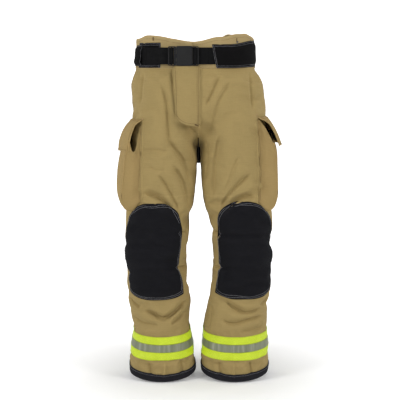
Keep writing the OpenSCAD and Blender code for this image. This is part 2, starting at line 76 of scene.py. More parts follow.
LEG_CY = [(-60, 5), (235, 5), (310, 3), (400, 0), (475, 0), (620, 3), (700, 5), (850, 5)]
LEG_B = [(-60, 81), (90, 81), (125, 79), (200, 81), (310, 84), (400, 87), (475, 90), (546, 98), (620, 108), (700, 118), (735, 122), (800, 118), (850, 110)]
# Seat: height, middle, half width, half depth
SEAT_T = [(700, 0, 60, 30), (712, 0, 128, 60), (728, 0, 180, 78), (745, 0, 198, 92), (765, 0, 200, 106), (783, -1, 200, 122), (820, -3, 198, 132),
          (857, -4.5, 197, 132), (893, -7, 196, 130), (912, -8.5, 191, 127.5), (930, -10, 184.5, 124), (948, -11.5, 180, 120.5), (966, -12, 178.5, 118.5),
          (1000, -12, 177.5, 118), (1060, -12, 177, 117.5)]


def tab(table, z, k=1):
    a = np.array(table, float)
    return np.interp(z, a[:, 0], a[:, k])


def leg_section(side, z):
    """middle x, half width, middle y, half depth of a leg at height z"""
    o, i = tab(LEG_T[side], z, 1), tab(LEG_T[side], z, 2)
    return side * (o + i) / 2, (o - i) / 2, tab(LEG_CY, z) + FY, tab(LEG_B, z)


def seat_section(z):
    a = np.array(SEAT_T, float)
    cy = np.interp(z, [700, 745, 783, 810, 900, 964, 1060], [30, 22, 9, 5, 5, 2, 2]) + FY
    return np.interp(z, a[:, 0], a[:, 1]), np.interp(z, a[:, 0], a[:, 2]), cy, np.interp(z, a[:, 0], a[:, 3])


def spow(v, e):
    return np.sign(v) * np.abs(v) ** e


def oval(cx, a, cy, b, n, k):
    t = np.arange(k) * 2 * np.pi / k
    return np.stack([cx + a * spow(np.cos(t), 2 / n), cy + b * spow(np.sin(t), 2 / n)], 1)


def sstep(x, a, b):
    t = np.clip((x - a) / (b - a), 0, 1)
    return t * t * (3 - 2 * t)


# ------------------------------------------------------------------ mesh helpers
def new_mesh(name, verts, faces, smooth=True):
    me = bpy.data.meshes.new(name)
    me.from_pydata([tuple(v) for v in np.asarray(verts, float)], [], [tuple(int(i) for i in f) for f in faces])
    me.update()
    ob = bpy.data.objects.new(name, me)
    bpy.context.scene.collection.objects.link(ob)
    if smooth:
        me.polygons.foreach_set("use_smooth", np.ones(len(me.polygons), bool))
    return ob


def coords(ob):
    a = np.empty(len(ob.data.vertices) * 3)
    ob.data.vertices.foreach_get("co", a)
    return a.reshape(-1, 3)


def set_coords(ob, a):
    ob.data.vertices.foreach_set("co", np.asarray(a, float).ravel())
    ob.data.update()


def normals(ob):
    ob.data.update()
    a = np.empty(len(ob.data.vertices) * 3)
    ob.data.vertices.foreach_get("normal", a)
    return a.reshape(-1, 3)


def apply_mods(ob):
    dg = bpy.context.evaluated_depsgraph_get()
    dg.update()
    me = bpy.data.meshes.new_from_object(ob.evaluated_get(dg), depsgraph=dg)
    ob.modifiers.clear()
    old = ob.data
    ob.data = me
    bpy.data.meshes.remove(old)
    return ob


def smooth_all(ob):
    ob.data.polygons.foreach_set("use_smooth", np.ones(len(ob.data.polygons), bool))
    ob.data.update()


def subsurf(ob, n=1):
    m = ob.modifiers.new("s", "SUBSURF")
    m.levels = m.render_levels = n
    return apply_mods(ob)


def drop(ob):
    me = ob.data
    bpy.data.objects.remove(ob)
    if me and me.users == 0:
        bpy.data.meshes.remove(me)


def grid_faces(nu, nv, close_u=False, close_v=False, flip=False, base=0):
    """faces of an nu by nv grid of points stored row by row (index = i*nv + j)"""
    f = []
    for i in range(nu if close_u else nu - 1):
        for j in range(nv if close_v else nv - 1):
            i2, j2 = (i + 1) % nu, (j + 1) % nv
            q = (base + i * nv + j, base + i2 * nv + j, base + i2 * nv + j2, base + i * nv + j2)
            f.append(q[::-1] if flip else q)
    return f


def sheet(name, P, N, t, close_u=False, flip=False, bevel=True):
    """A sheet of thickness t: P, N are (nu, nv, 3) grids in metres; the outer face is at P and the inner at P - t*N. Closed all round."""
    nu, nv = P.shape[:2]
    Q = P - t * N
    verts = np.concatenate([P.reshape(-1, 3), Q.reshape(-1, 3)])
    n = nu * nv
    f = grid_faces(nu, nv, close_u, False, flip) + grid_faces(nu, nv, close_u, False, not flip, n)
    for i in range(nu if close_u else nu - 1):
        i2 = (i + 1) % nu
        for j, fl in ((0, True), (nv - 1, False)):
            q = (i * nv + j, i2 * nv + j, n + i2 * nv + j, n + i * nv + j)
            f.append(q[::-1] if (fl != flip) else q)
    if not close_u:
        for j in range(nv - 1):
            for i, fl in ((0, False), (nu - 1, True)):
                q = (i * nv + j, i * nv + j + 1, n + i * nv + j + 1, n + i * nv + j)
                f.append(q[::-1] if (fl != flip) else q)
    return new_mesh(name, verts, f)


def fix_normals(ob):
    bm = bmesh.new()
    bm.from_mesh(ob.data)
    bmesh.ops.recalc_face_normals(bm, faces=bm.faces)
    bm.to_mesh(ob.data)
    bm.free()
    ob.data.update()
    return ob


def uv_from(ob, fn):
    """UVs in metres from a function of the loop's vertex position"""
    me = ob.data
    lay = me.uv_layers.get("UVMap") or me.uv_layers.new(name="UVMap")
    idx = np.empty(len(me.loops), np.int64)
    me.loops.foreach_get("vertex_index", idx)
    co = coords(ob)[idx]
    uv = fn(co)
    lay.data.foreach_set("uv", np.asarray(uv, np.float32).ravel())


def crease_smooth_by_angle(ob, deg=40):
    me = ob.data
    bm = bmesh.new()
    bm.from_mesh(me)
    for e in bm.edges:
        if len(e.link_faces) == 2:
            e.smooth = e.calc_face_angle(0) < math.radians(deg)
    bm.to_mesh(me)
    bm.free()


# ------------------------------------------------------------------ materials
def nodes_of(m):
    m.use_nodes = True
    nt = m.node_tree
    nt.nodes.clear()
    out = nt.nodes.new("ShaderNodeOutputMaterial")
    b = nt.nodes.new("ShaderNodeBsdfPrincipled")
    nt.links.new(b.outputs[0], out.inputs[0])
    return nt, b


class G:
    """small helper to write node graphs"""
    def __init__(self, nt):
        self.nt = nt

    def val(self, x, inp):
        if hasattr(x, "default_value") or hasattr(x, "links"):
            self.nt.links.new(x, inp)
        else:
            inp.default_value = x

    def math(self, op, a, b=0.0, c=0.0):
        n = self.nt.nodes.new("ShaderNodeMath")
        n.operation = op
        for i, x in enumerate((a, b, c)):
            self.val(x, n.inputs[i])
        return n.outputs[0]

    def coord(self, uv=True):
        n = self.nt.nodes.new("ShaderNodeTexCoord")
        return n.outputs["UV"] if uv else n.outputs["Object"]

    def scale(self, v, s):
        n = self.nt.nodes.new("ShaderNodeMapping")
        self.nt.links.new(v, n.inputs["Vector"])
        n.inputs["Scale"].default_value = s
        return n.outputs[0]

    def sep(self, v):
        n = self.nt.nodes.new("ShaderNodeSeparateXYZ")
        self.nt.links.new(v, n.inputs[0])
        return n.outputs

    def noise(self, v, scale, detail=3, rough=0.55, dist=0.0):
        n = self.nt.nodes.new("ShaderNodeTexNoise")
        self.nt.links.new(v, n.inputs["Vector"])
        n.inputs["Scale"].default_value = scale
        n.inputs["Detail"].default_value = detail
        n.inputs["Roughness"].default_value = rough
        n.inputs["Distortion"].default_value = dist
        return n.outputs[0]

    def ramp(self, f, stops):
        n = self.nt.nodes.new("ShaderNodeValToRGB")
        self.nt.links.new(f, n.inputs[0])
        e = n.color_ramp.elements
        e[0].position, e[0].color = stops[0][0], (*stops[0][1], 1)
        e[1].position, e[1].color = stops[-1][0], (*stops[-1][1], 1)
        for p, c in stops[1:-1]:
            k = e.new(p)
            k.color = (*c, 1)
        return n.outputs[0]

    def mix(self, f, a, b, mode="MIX"):
        n = self.nt.nodes.new("ShaderNodeMix")
        n.data_type = "RGBA"
        n.blend_type = mode
        self.val(f, n.inputs[0])
        for x, i in ((a, 6), (b, 7)):
            if isinstance(x, tuple):
                n.inputs[i].default_value = (*x[:3], 1)
            else:
                self.nt.links.new(x, n.inputs[i])
        return n.outputs[2]

    def bump(self, h, strength, dist, normal=None):
        n = self.nt.nodes.new("ShaderNodeBump")
        n.inputs["Strength"].default_value = strength
        n.inputs["Distance"].default_value = dist
        self.nt.links.new(h, n.inputs["Height"])
        if normal is not None:
            self.nt.links.new(normal, n.inputs["Normal"])
        return n.outputs[0]

    def pointiness(self):
        n = self.nt.nodes.new("ShaderNodeNewGeometry")
        return n.outputs["Pointiness"]


def lin(r, g, b):
    f = lambda c: ((c / 255 + 0.055) / 1.055) ** 2.4 if c > 10 else c / 255 / 12.92
    return (f(r), f(g), f(b))


def weave_height(g, v, pitch, twill=False):
    """a woven surface's height, from coordinates in metres: warp and weft threads that pass over and under each other"""
    s = g.sep(v)
    k = 2 * math.pi / pitch
    cu = g.math("SINE", g.math("MULTIPLY", s[0], k))
    cv = g.math("SINE", g.math("MULTIPLY", s[1], k))
    if twill:
        d = g.math("SINE", g.math("MULTIPLY", g.math("ADD", s[0], g.math("MULTIPLY", s[1], 0.5)), k / 2))
        w = g.math("ADD", g.math("MULTIPLY", d, 0.6), g.math("MULTIPLY", cv, 0.25))
    else:
        w = g.math("MULTIPLY", cu, cv)
    return w, s


def cloth_material(name, color, pitch=0.0011, twill=True, dark=0.80, light=1.10, rough=0.86, sheen=0.25, bump=0.5, ripstop=0.0, uv=True, wear=0.12, slub=1.0, spec=0.2):
    m = bpy.data.materials.new(name)
    nt, b = nodes_of(m)
    g = G(nt)
    v = g.coord(uv)
    w, s = weave_height(g, v, pitch, twill)
    # slubs: long thin variation along the weft, and broad mottling from handling
    n1 = g.noise(g.scale(v, (1, 9, 1)), 38, 5, 0.65)
    n2 = g.noise(v, 7, 3, 0.5)
    n3 = g.noise(g.scale(v, (9, 1, 1)), 55, 4, 0.6)
    mott = g.math("ADD", g.math("MULTIPLY", n1, 0.45 * slub), g.math("ADD", g.math("MULTIPLY", n2, 0.35), g.math("MULTIPLY", n3, 0.25 * slub)))
    t = g.math("ADD", g.math("MULTIPLY", mott, 1.0), g.math("MULTIPLY", w, 0.10))
    c0 = tuple(c * dark for c in color)
    c1 = tuple(min(1, c * light) for c in color)
    col = g.ramp(t, [(0.30, c0), (0.52, color), (0.78, c1)])
    h = g.math("ADD", g.math("MULTIPLY", w, 0.5), g.math("MULTIPLY", n1, 0.8 * slub))
    if ripstop > 0:
        k = 2 * math.pi / 0.006
        ru = g.math("POWER", g.math("ABSOLUTE", g.math("COSINE", g.math("MULTIPLY", s[0], k / 2))), 14)
        rv = g.math("POWER", g.math("ABSOLUTE", g.math("COSINE", g.math("MULTIPLY", s[1], k / 2))), 14)
        r = g.math("MAXIMUM", ru, rv)
        h = g.math("ADD", h, g.math("MULTIPLY", r, 0.9 * ripstop))
        col = g.mix(g.math("MULTIPLY", r, 0.10 * ripstop), col, tuple(min(1, c * 1.25) for c in color))
    if wear > 0:
        p = g.pointiness()
        e = g.math("MULTIPLY", g.math("SUBTRACT", p, 0.5), 9.0)
        e = g.math("MINIMUM", g.math("MAXIMUM", e, 0.0), 1.0)
        col = g.mix(g.math("MULTIPLY", e, wear * 4), col, tuple(min(1, c * 1.35 + 0.01) for c in color))
    nt.links.new(col, b.inputs["Base Color"])
    b.inputs["Roughness"].default_value = rough
    b.inputs["Specular IOR Level"].default_value = spec
    b.inputs["Sheen Weight"].default_value = sheen
    b.inputs["Sheen Roughness"].default_value = 0.5
    b.inputs["Sheen Tint"].default_value = (*[min(1, c * 1.3 + 0.1) for c in color], 1)
    nt.links.new(g.bump(h, bump, 0.0006), b.inputs["Normal"])
    return m


def plastic_material(name, color, rough=0.42, grain=900):
    m = bpy.data.materials.new(name)
    nt, b = nodes_of(m)
    g = G(nt)
    v = g.coord(False)
    n = g.noise(v, grain, 3)
    n2 = g.noise(v, 60, 4)
    e = g.math("MINIMUM", g.math("MAXIMUM", g.math("MULTIPLY", g.math("SUBTRACT", g.pointiness(), 0.5), 7.0), 0.0), 1.0)
    col = g.mix(g.math("MULTIPLY", e, 0.5), g.ramp(n2, [(0.3, tuple(c * 0.85 for c in color)), (0.7, tuple(c * 1.2 for c in color))]), tuple(min(1, c * 2.4 + 0.008) for c in color))
    nt.links.new(col, b.inputs["Base Color"])
    b.inputs["Specular IOR Level"].default_value = 0.3
    nt.links.new(g.math("ADD", g.math("MULTIPLY", n2, 0.18), rough - 0.08), b.inputs["Roughness"])
    nt.links.new(g.bump(n, 0.25, 0.0002), b.inputs["Normal"])
    return m


def metal_material(name, color, rough=0.32):
    m = bpy.data.materials.new(name)
    nt, b = nodes_of(m)
    g = G(nt)
    v = g.coord(False)
    n = g.noise(g.scale(v, (1, 1, 8)), 300, 4)
    nt.links.new(g.ramp(n, [(0.25, tuple(c * 0.7 for c in color)), (0.75, color)]), b.inputs["Base Color"])
    b.inputs["Metallic"].default_value = 1.0
    nt.links.new(g.math("ADD", g.math("MULTIPLY", n, 0.25), rough - 0.1), b.inputs["Roughness"])
    nt.links.new(g.bump(n, 0.15, 0.0002), b.inputs["Normal"])
    return m


TAN = lin(172, 149, 100)
M = {}
M["tan"] = cloth_material("tan_aramid", lin(161, 140, 91), ripstop=0.6)
M["tan_pocket"] = cloth_material("tan_aramid_pocket", lin(161, 137, 89), ripstop=0.6)
M["tan_dark"] = cloth_material("tan_aramid_band", lin(170, 149, 104), ripstop=0.6)
M["tan_thread"] = cloth_material("tan_thread", lin(112, 90, 60), pitch=0.0006, twill=False, uv=False, wear=0)
M["black"] = cloth_material("black_aramid", lin(21, 21, 25), pitch=0.0013, twill=False, dark=0.7, light=1.35, rough=0.85, sheen=0.06, bump=0.45, wear=0.25, spec=0.12)
# a darker copy of the black cloth, for the waist pieces; on the crotch gusset it is painted shade
M["black_waist"] = cloth_material("black_aramid_waist", lin(15, 14, 15), pitch=0.0013, twill=False, dark=0.7, light=1.35, rough=0.88, sheen=0.03, bump=0.45, wear=0.2, spec=0.08)
M["black_lining"] = cloth_material("black_lining", lin(17, 16, 18), pitch=0.0009, twill=True, dark=0.7, light=1.3, rough=0.88, sheen=0.04, spec=0.1)
M["tack_pink"] = cloth_material("tack_thread", lin(176, 140, 112), pitch=0.0006, twill=False, uv=False, wear=0)
M["grey_thread"] = cloth_material("grey_thread", lin(138, 138, 142), pitch=0.0006, twill=False, uv=False, wear=0)
M["binding"] = cloth_material("hem_binding_tape", lin(29, 28, 33), pitch=0.0016, twill=True, dark=0.7, light=1.3, rough=0.8, sheen=0.08, wear=0.4, spec=0.15)
M["knit_pad"] = cloth_material("knee_pad_knit", lin(60, 60, 64), pitch=0.002, twill=False, uv=False)
M["buckle"] = plastic_material("buckle_acetal", lin(17, 17, 18))
M["metal"] = metal_material("nickel", (0.56, 0.54, 0.50))
M["dark_metal"] = metal_material("blackened_brass", (0.13, 0.12, 0.11), 0.45)
M["brass"] = metal_material("zip_brass", (0.52, 0.38, 0.18))


def webbing_material(name, color):
    """ribbed webbing: ribs run along the strap, v of the UV is across it, in metres"""
    m = bpy.data.materials.new(name)
    nt, b = nodes_of(m)
    g = G(nt)
    v = g.coord(True)
    s = g.sep(v)
    ribs = g.math("SINE", g.math("MULTIPLY", s[1], 2 * math.pi / 0.0022))
    weft = g.math("SINE", g.math("ADD", g.math("MULTIPLY", s[0], 2 * math.pi / 0.0016), g.math("MULTIPLY", g.math("SIGN", ribs), 1.57)))
    n = g.noise(v, 90, 4)
    h = g.math("ADD", g.math("MULTIPLY", ribs, 0.5), g.math("MULTIPLY", weft, 0.35))
    t = g.math("ADD", g.math("MULTIPLY", h, 0.22), n)
    nt.links.new(g.ramp(t, [(0.25, tuple(c * 0.6 for c in color)), (0.5, color), (0.85, tuple(c * 1.7 for c in color))]), b.inputs["Base Color"])
    b.inputs["Roughness"].default_value = 0.8
    b.inputs["Sheen Weight"].default_value = 0.0
    b.inputs["Specular IOR Level"].default_value = 0.12
    nt.links.new(g.bump(h, 0.6, 0.0004), b.inputs["Normal"])
    return m


def lime_material(name):
    """fluorescent tape with a staggered net of small lens cells"""
    m = bpy.data.materials.new(name)
    nt, b = nodes_of(m)
    g = G(nt)
    v = g.coord(True)
    s = g.sep(v)
    k = math.pi / 0.0045
    a = g.math("SINE", g.math("MULTIPLY", g.math("ADD", s[0], s[1]), k))
    c = g.math("SINE", g.math("MULTIPLY", g.math("SUBTRACT", s[0], s[1]), k))
    net = g.math("ABSOLUTE", g.math("MULTIPLY", a, c))
    net = g.math("POWER", net, 0.7)
    n = g.noise(v, 25, 3)
    base = g.ramp(n, [(0.3, lin(198, 216, 42)), (0.7, lin(212, 230, 54))])
    col = g.mix(g.math("SUBTRACT", 1.0, g.math("MINIMUM", g.math("MULTIPLY", net, 2.2), 1.0)), base, lin(118, 138, 36))
    nt.links.new(col, b.inputs["Base Color"])
    b.inputs["Roughness"].default_value = 0.45
    b.inputs["Specular IOR Level"].default_value = 0.4
    # painted light: the tape glows a little by itself, standing in for its fluorescence
    b.inputs["Emission Color"].default_value = (*lin(206, 240, 20), 1)
    b.inputs["Emission Strength"].default_value = 0.14
    nt.links.new(g.bump(net, 0.5, 0.0004), b.inputs["Normal"])
    return m


def silver_material(name):
    m = bpy.data.materials.new(name)
    nt, b = nodes_of(m)
    g = G(nt)
    v = g.coord(True)
    s = g.sep(v)
    n = g.noise(g.scale(v, (1, 0.12, 1)), 60, 4)
    bead = g.noise(v, 1800, 2)
    k = math.pi / 0.0022
    a = g.math("MULTIPLY", g.math("SINE", g.math("MULTIPLY", g.math("ADD", s[0], s[1]), k)), g.math("SINE", g.math("MULTIPLY", g.math("SUBTRACT", s[0], s[1]), k)))
    nt.links.new(g.ramp(n, [(0.30, lin(118, 124, 100)), (0.55, lin(140, 145, 122)), (0.72, lin(172, 176, 160))]), b.inputs["Base Color"])
    b.inputs["Metallic"].default_value = 0.25
    b.inputs["Roughness"].default_value = 0.38
    nt.links.new(g.bump(g.math("ADD", g.math("MULTIPLY", bead, 0.4), g.math("MULTIPLY", a, 0.2)), 0.35, 0.0003), b.inputs["Normal"])
    return m


def quilt_material(name, color):
    """quilted lining: diamond channels sewn through batting"""
    m = bpy.data.materials.new(name)
    nt, b = nodes_of(m)
    g = G(nt)
    v = g.coord(True)
    s = g.sep(v)
    k = math.pi / 0.030
    a = g.math("ABSOLUTE", g.math("SINE", g.math("MULTIPLY", g.math("ADD", s[0], s[1]), k)))
    c = g.math("ABSOLUTE", g.math("SINE", g.math("MULTIPLY", g.math("SUBTRACT", s[0], s[1]), k)))
    q = g.math("POWER", g.math("MINIMUM", a, c), 0.5)
    w, _ = weave_height(g, v, 0.0012)
    n = g.noise(v, 30, 4)
    # painted shade and highlight: the colour darkens into the sewn channels and lightens on the puffs between them
    col = g.ramp(g.math("ADD", g.math("MULTIPLY", q, 0.55), g.math("MULTIPLY", n, 0.45)), [(0.15, tuple(x * 0.45 for x in color)), (0.45, color), (0.9, tuple(min(1, x * 1.2) for x in color))])
    nt.links.new(col, b.inputs["Base Color"])
    b.inputs["Roughness"].default_value = 0.9
    nt.links.new(g.bump(g.math("ADD", g.math("MULTIPLY", q, 3.0), g.math("MULTIPLY", w, 0.2)), 0.7, 0.0012), b.inputs["Normal"])
    return m


M["webbing"] = webbing_material("black_webbing", lin(13, 13, 14))
M["lime"] = lime_material("trim_lime_net")
M["silver"] = silver_material("trim_silver_beads")
M["quilt"] = quilt_material("quilted_liner", lin(150, 138, 104))
M["membrane"] = cloth_material("moisture_membrane", lin(205, 205, 196), pitch=0.0016, twill=False, uv=False, rough=0.55)


def paint(ob, *mats):
    ob.data.materials.clear()
    for m in mats:
        ob.data.materials.append(M[m])
    return ob


# ------------------------------------------------------------------ the trouser skin
def loft_solid(rings, zs):
    """a closed solid through rings of equal length, in mm"""
    k = len(rings[0])
    v, f = [], []
    for r, z in zip(rings, zs):
        v += [(p[0], p[1], z) for p in r]
    for i in range(len(rings) - 1):
        for j in range(k):
            j2 = (j + 1) % k
            f.append((i * k + j, i * k + j2, (i + 1) * k + j2, (i + 1) * k + j))
    n = len(v)
    v.append((*np.mean(rings[0], 0), zs[0]))
    v.append((*np.mean(rings[-1], 0), zs[-1]))
    for j in range(k):
        j2 = (j + 1) % k
        f.append((n, j2, j))
        f.append((n + 1, (len(rings) - 1) * k + j, (len(rings) - 1) * k + j2))
    return np.array(v) / 1000, f


VOX = 0.0055


def build_skin():
    parts = []
    for s in (1, -1):
        zs = list(np.arange(-50, 846, 9.0))
        parts.append(loft_solid([oval(*leg_section(s, z), 2.3, 96) for z in zs], zs))
    zs = [700, 706, 712, 720, 728, 736, 745, 755] + list(np.arange(765, 1001, 8.0))
    parts.append(loft_solid([oval(*seat_section(z), 2.4, 128) for z in zs], zs))
    v, f, o = [], [], 0
    for pv, pf in parts:
        v.append(pv)
        f += [tuple(i + o for i in q) for q in pf]
        o += len(pv)
    ob = new_mesh("skin_work", np.concatenate(v), f)
    m = ob.modifiers.new("r", "REMESH")
    m.mode = "VOXEL"
    m.voxel_size = VOX
    m.use_smooth_shade = True
    apply_mods(ob)
    m = ob.modifiers.new("sm", "SMOOTH")
    m.factor = 0.5
    m.iterations = 7
    apply_mods(ob)
    return ob


def cut(ob, co, no):
    """keeps the side that no points away from"""
    bm = bmesh.new()
    bm.from_mesh(ob.data)
    bmesh.ops.bisect_plane(bm, geom=bm.verts[:] + bm.edges[:] + bm.faces[:], plane_co=co, plane_no=no, clear_outer=True, dist=1e-5)
    bm.to_mesh(ob.data)
    bm.free()
    ob.data.update()
    return ob


# Folds: points (x, z) in mm as seen from the front (or from behind for "b"), height in mm (negative is a valley), half width in mm.
# Each valley has a softer swell on one side of it: the last number is that share, on the left of the path if positive.
FOLDS_F = [
    # seat, either side of the fly
    ([(-80, 945), (-78, 900), (-71, 820), (-70, 780)], -3.2, 8, 0.5),
    ([(-118, 900), (-100, 860), (-93, 815), (-92, 750), (-84, 700)], -4.0, 17, 0.5),
    ([(63, 922), (37, 868), (19, 828)], -3.6, 12, 0.6),
    ([(95, 905), (60, 850), (44, 800), (36, 760)], -2.6, 16, -0.5),
    ([(152, 930), (156, 860), (160, 815)], -3.0, 13, 0.4),
    ([(-165, 930), (-172, 880), (-176, 830)], -2.5, 14, -0.4),
    ([(-40, 772), (-20, 760), (-5, 745)], -2.0, 9, 0.4),
    # crotch, running out and down over the thighs
    ([(-5, 742), (-14, 715), (-17, 690), (-15, 660)], -2.2, 12, -0.6),
    ([(-92, 732), (-69, 700), (-47, 668), (-36, 640), (-28, 600)], -5.2, 15, 0.7),
    ([(-80, 655), (-60, 630), (-46, 600), (-34, 555), (-30, 520)], -4.2, 13, 0.6),
    ([(-128, 627), (-104, 606), (-87, 574), (-70, 540), (-58, 505)], -4.0, 14, 0.6),
    ([(-150, 648), (-130, 640), (-104, 640)], -1.6, 8, 0.4),
    ([(62, 750), (50, 692), (43, 648), (40, 600), (42, 552)], -4.0, 16, -0.6),
    ([(20, 735), (26, 700), (24, 650), (20, 600)], -2.4, 12, -0.5),
    ([(156, 628), (124, 605), (98, 578), (76, 548), (62, 512)], -5.5, 16, -0.7),
    ([(170, 560), (128, 560), (100, 538), (72, 508)], -4.6, 13, -0.6),
    ([(120, 680), (100, 640), (88, 600), (70, 570)], -2.4, 16, -0.5),
    # the arcs above the knee patches
    ([(-168, 568), (-128, 562), (-96, 538), (-74, 506)], -6.0, 11, -0.8),
    ([(-172, 545), (-150, 541), (-120, 538)], 2.5, 8, 0.0),
    ([(150, 548), (120, 543), (92, 524), (74, 500)], 3.0, 9, 0.0),
    # inner knees
    ([(-62, 452), (-48, 448), (-34, 447)], -3.0, 7, 0.5),
    ([(-62, 341), (-48, 338), (-40, 338)], -3.5, 7, 0.5),
    ([(70, 446), (52, 446), (42, 447)], -3.0, 7, 0.5),
    ([(76, 342), (58, 340), (44, 338)], -3.0, 7, 0.5),
    ([(-42, 500), (-38, 470), (-40, 430)], -2.0, 10, 0.4),
    # below the knee patches
    ([(-165, 214), (-140, 208), (-116, 193), (-92, 193), (-54, 226), (-38, 243)], -6.5, 10, 0.8),
    ([(-84, 174), (-56, 190), (-40, 206)], -4.5, 9, 0.7),
    ([(-208, 245), (-196, 228), (-176, 220)], -3.5, 9, 0.5),
    ([(-196, 190), (-176, 178), (-150, 172), (-120, 172)], -3.0, 11, 0.5),
    ([(76, 244), (116, 216), (148, 206), (186, 222)], -5.5, 11, 0.7),
    ([(66, 190), (96, 172), (146, 186), (194, 196)], -4.6, 12, 0.6),
    ([(40, 232), (34, 180), (26, 150)], -2.0, 8, 0.4),
    ([(208, 250), (196, 236), (182, 228)], -3.5, 8, -0.5),
    ([(200, 160), (180, 158), (150, 150), (120, 152)], -2.2, 11, 0.5),
    # ankles and hems
    ([(-150, 60), (-146, 40), (-144, 20)], -2.6, 12, 0.6),
    ([(-56, 66), (-52, 44), (-50, 22)], -2.8, 10, -0.6),
    ([(-100, 62), (-104, 36), (-106, 10)], 2.4, 14, 0.0),
    ([(60, 62), (64, 40), (66, 16)], -2.6, 11, 0.5),
    ([(150, 64), (156, 40), (158, 20)], -2.8, 11, -0.5),
    ([(106, 60), (104, 36), (104, 10)], 2.0, 15, 0.0),
]
FOLDS_B = [
    ([(-150, 905), (-100, 870), (-55, 830), (-20, 790)], -5.0, 17, 0.6),
    ([(150, 905), (100, 870), (55, 830), (20, 790)], -5.0, 17, -0.6),
    ([(-160, 830), (-110, 800), (-60, 770), (-12, 745)], -6.0, 15, 0.7),
    ([(160, 830), (110, 800), (60, 770), (12, 745)], -6.0, 15, -0.7),
    ([(-150, 740), (-110, 712), (-60, 700), (-14, 702)], -6.5, 14, 0.7),
    ([(150, 740), (110, 712), (60, 700), (14, 702)], -6.5, 14, -0.7),
    ([(-150, 660), (-100, 640), (-50, 650), (-16, 665)], -4.5, 15, 0.6),
    ([(150, 660), (100, 640), (50, 650), (16, 665)], -4.5, 15, -0.6),
    ([(-60, 620), (-70, 560), (-95, 520)], -3.5, 16, 0.5),
    ([(60, 620), (70, 560), (95, 520)], -3.5, 16, -0.5),
    # backs of the knees
    ([(-205, 478), (-160, 470), (-110, 462), (-50, 474)], -6.0, 12, 0.7),
    ([(-208, 440), (-150, 428), (-100, 430), (-48, 440)], -7.0, 12, 0.7),
    ([(-205, 400), (-150, 402), (-100, 394), (-50, 396)], -6.5, 11, 0.7),
    ([(-200, 362), (-150, 352), (-90, 360), (-46, 350)], -5.0, 12, 0.6),
    ([(205, 484), (160, 466), (110, 460), (50, 472)], -6.0, 12, -0.7),
    ([(208, 436), (150, 430), (100, 434), (48, 444)], -7.0, 12, -0.7),
    ([(205, 404), (150, 396), (100, 400), (50, 392)], -6.5, 11, -0.7),
    ([(200, 358), (150, 360), (90, 352), (46, 356)], -5.0, 12, -0.6),
    ([(-190, 300), (-140, 282), (-90, 268), (-50, 276)], -4.0, 15, 0.6),
    ([(190, 296), (140, 284), (90, 270), (50, 280)], -4.0, 15, -0.6),
    ([(-190, 220), (-150, 205), (-100, 196), (-50, 210)], -5.0, 13, 0.6),
    ([(190, 226), (150, 202), (100, 198), (50, 206)], -5.0, 13, -0.6),
    ([(-180, 178), (-130, 168), (-70, 172)], -3.5, 11, 0.6),
    ([(180, 176), (130, 170), (70, 170)], -3.5, 11, -0.6),
]


def path_distance(P2, pts):
    """distance to a polyline, the side (left positive) and the share along it, for (n, 2) points"""
    pts = np.array(pts, float)
    # refine the path so that it curves smoothly
    for _ in range(2):
        q = [pts[0]]
        for a, b in zip(pts[:-1], pts[1:]):
            q += [0.75 * a + 0.25 * b, 0.25 * a + 0.75 * b]
        q.append(pts[-1])
        pts = np.array(q)
    seg = pts[1:] - pts[:-1]
    L = np.hypot(seg[:, 0], seg[:, 1])
    cum = np.r_[0, np.cumsum(L)]
    best = np.full(len(P2), 1e9)
    side = np.zeros(len(P2))
    along = np.zeros(len(P2))
    for i in range(len(seg)):
        d = P2 - pts[i]
        t = np.clip((d @ seg[i]) / max(L[i] ** 2, 1e-9), 0, 1)
        e = d - t[:, None] * seg[i]
        r = np.hypot(e[:, 0], e[:, 1])
        m = r < best
        best[m] = r[m]
        c = seg[i][0] * d[:, 1] - seg[i][1] * d[:, 0]
        side[m] = np.sign(c[m])
        along[m] = (cum[i] + t[m] * L[i]) / cum[-1]
    return best, side, along


def fold_height(P, N, gain=1.35, narrow=0.9, soft=True):
    """outward displacement in mm from the listed folds, at points P (mm) with normals N"""
    h = np.zeros(len(P))
    for table, sgn in ((FOLDS_F, -1), (FOLDS_B, 1)):
        face = sstep(sgn * N[:, 1], 0.02, 0.45)
        for pts, amp, w, lean in table:
            q = np.array(pts, float)
            lo, hi = q.min(0) - 4 * w, q.max(0) + 4 * w
            sx = 1 if q[:, 0].mean() > 0 else -1
            m = (P[:, 0] > lo[0]) & (P[:, 0] < hi[0]) & (P[:, 2] > lo[1]) & (P[:, 2] < hi[1]) & (face > 0)
            if abs(q[:, 0].mean()) > 4:
                m &= P[:, 0] * sx > -6
            if not m.any():
                continue
            r, side, al = path_distance(P[m][:, [0, 2]], pts)
            s = r * side
            taper = sstep(al, -0.02, 0.22) * sstep(1 - al, -0.02, 0.22)
            g = np.exp(-(r / (w * narrow)) ** 2)
            if lean and soft:
                k = np.sign(lean)
                g = g - abs(lean) * np.exp(-((s * k - 1.9 * w) / (1.25 * w)) ** 2)
            h[m] += gain * amp * g * taper * face[m]
    return h


def value_noise(P, scale, seed):
    """smooth noise in -1..1 at points P (mm), lattice cell = scale mm (x, y, z)"""
    r = np.random.default_rng(seed)
    T = r.uniform(-1, 1, (16, 16, 16))
    q = P / np.array(scale, float)
    i = np.floor(q).astype(int)
    f = q - i
    f = f * f * (3 - 2 * f)
    out = 0
    for dx in (0, 1):
        for dy in (0, 1):
            for dz in (0, 1):
                w = (f[:, 0] if dx else 1 - f[:, 0]) * (f[:, 1] if dy else 1 - f[:, 1]) * (f[:, 2] if dz else 1 - f[:, 2])
                out = out + w * T[(i[:, 0] + dx) % 16, (i[:, 1] + dy) % 16, (i[:, 2] + dz) % 16]
    return out


HEM_TAN = math.tan(math.radians(14.7))


def hem_z(y):
    """height of the hem edge (mm) at depth y (mm)"""
    return 22.5 + (y - FY) * HEM_TAN


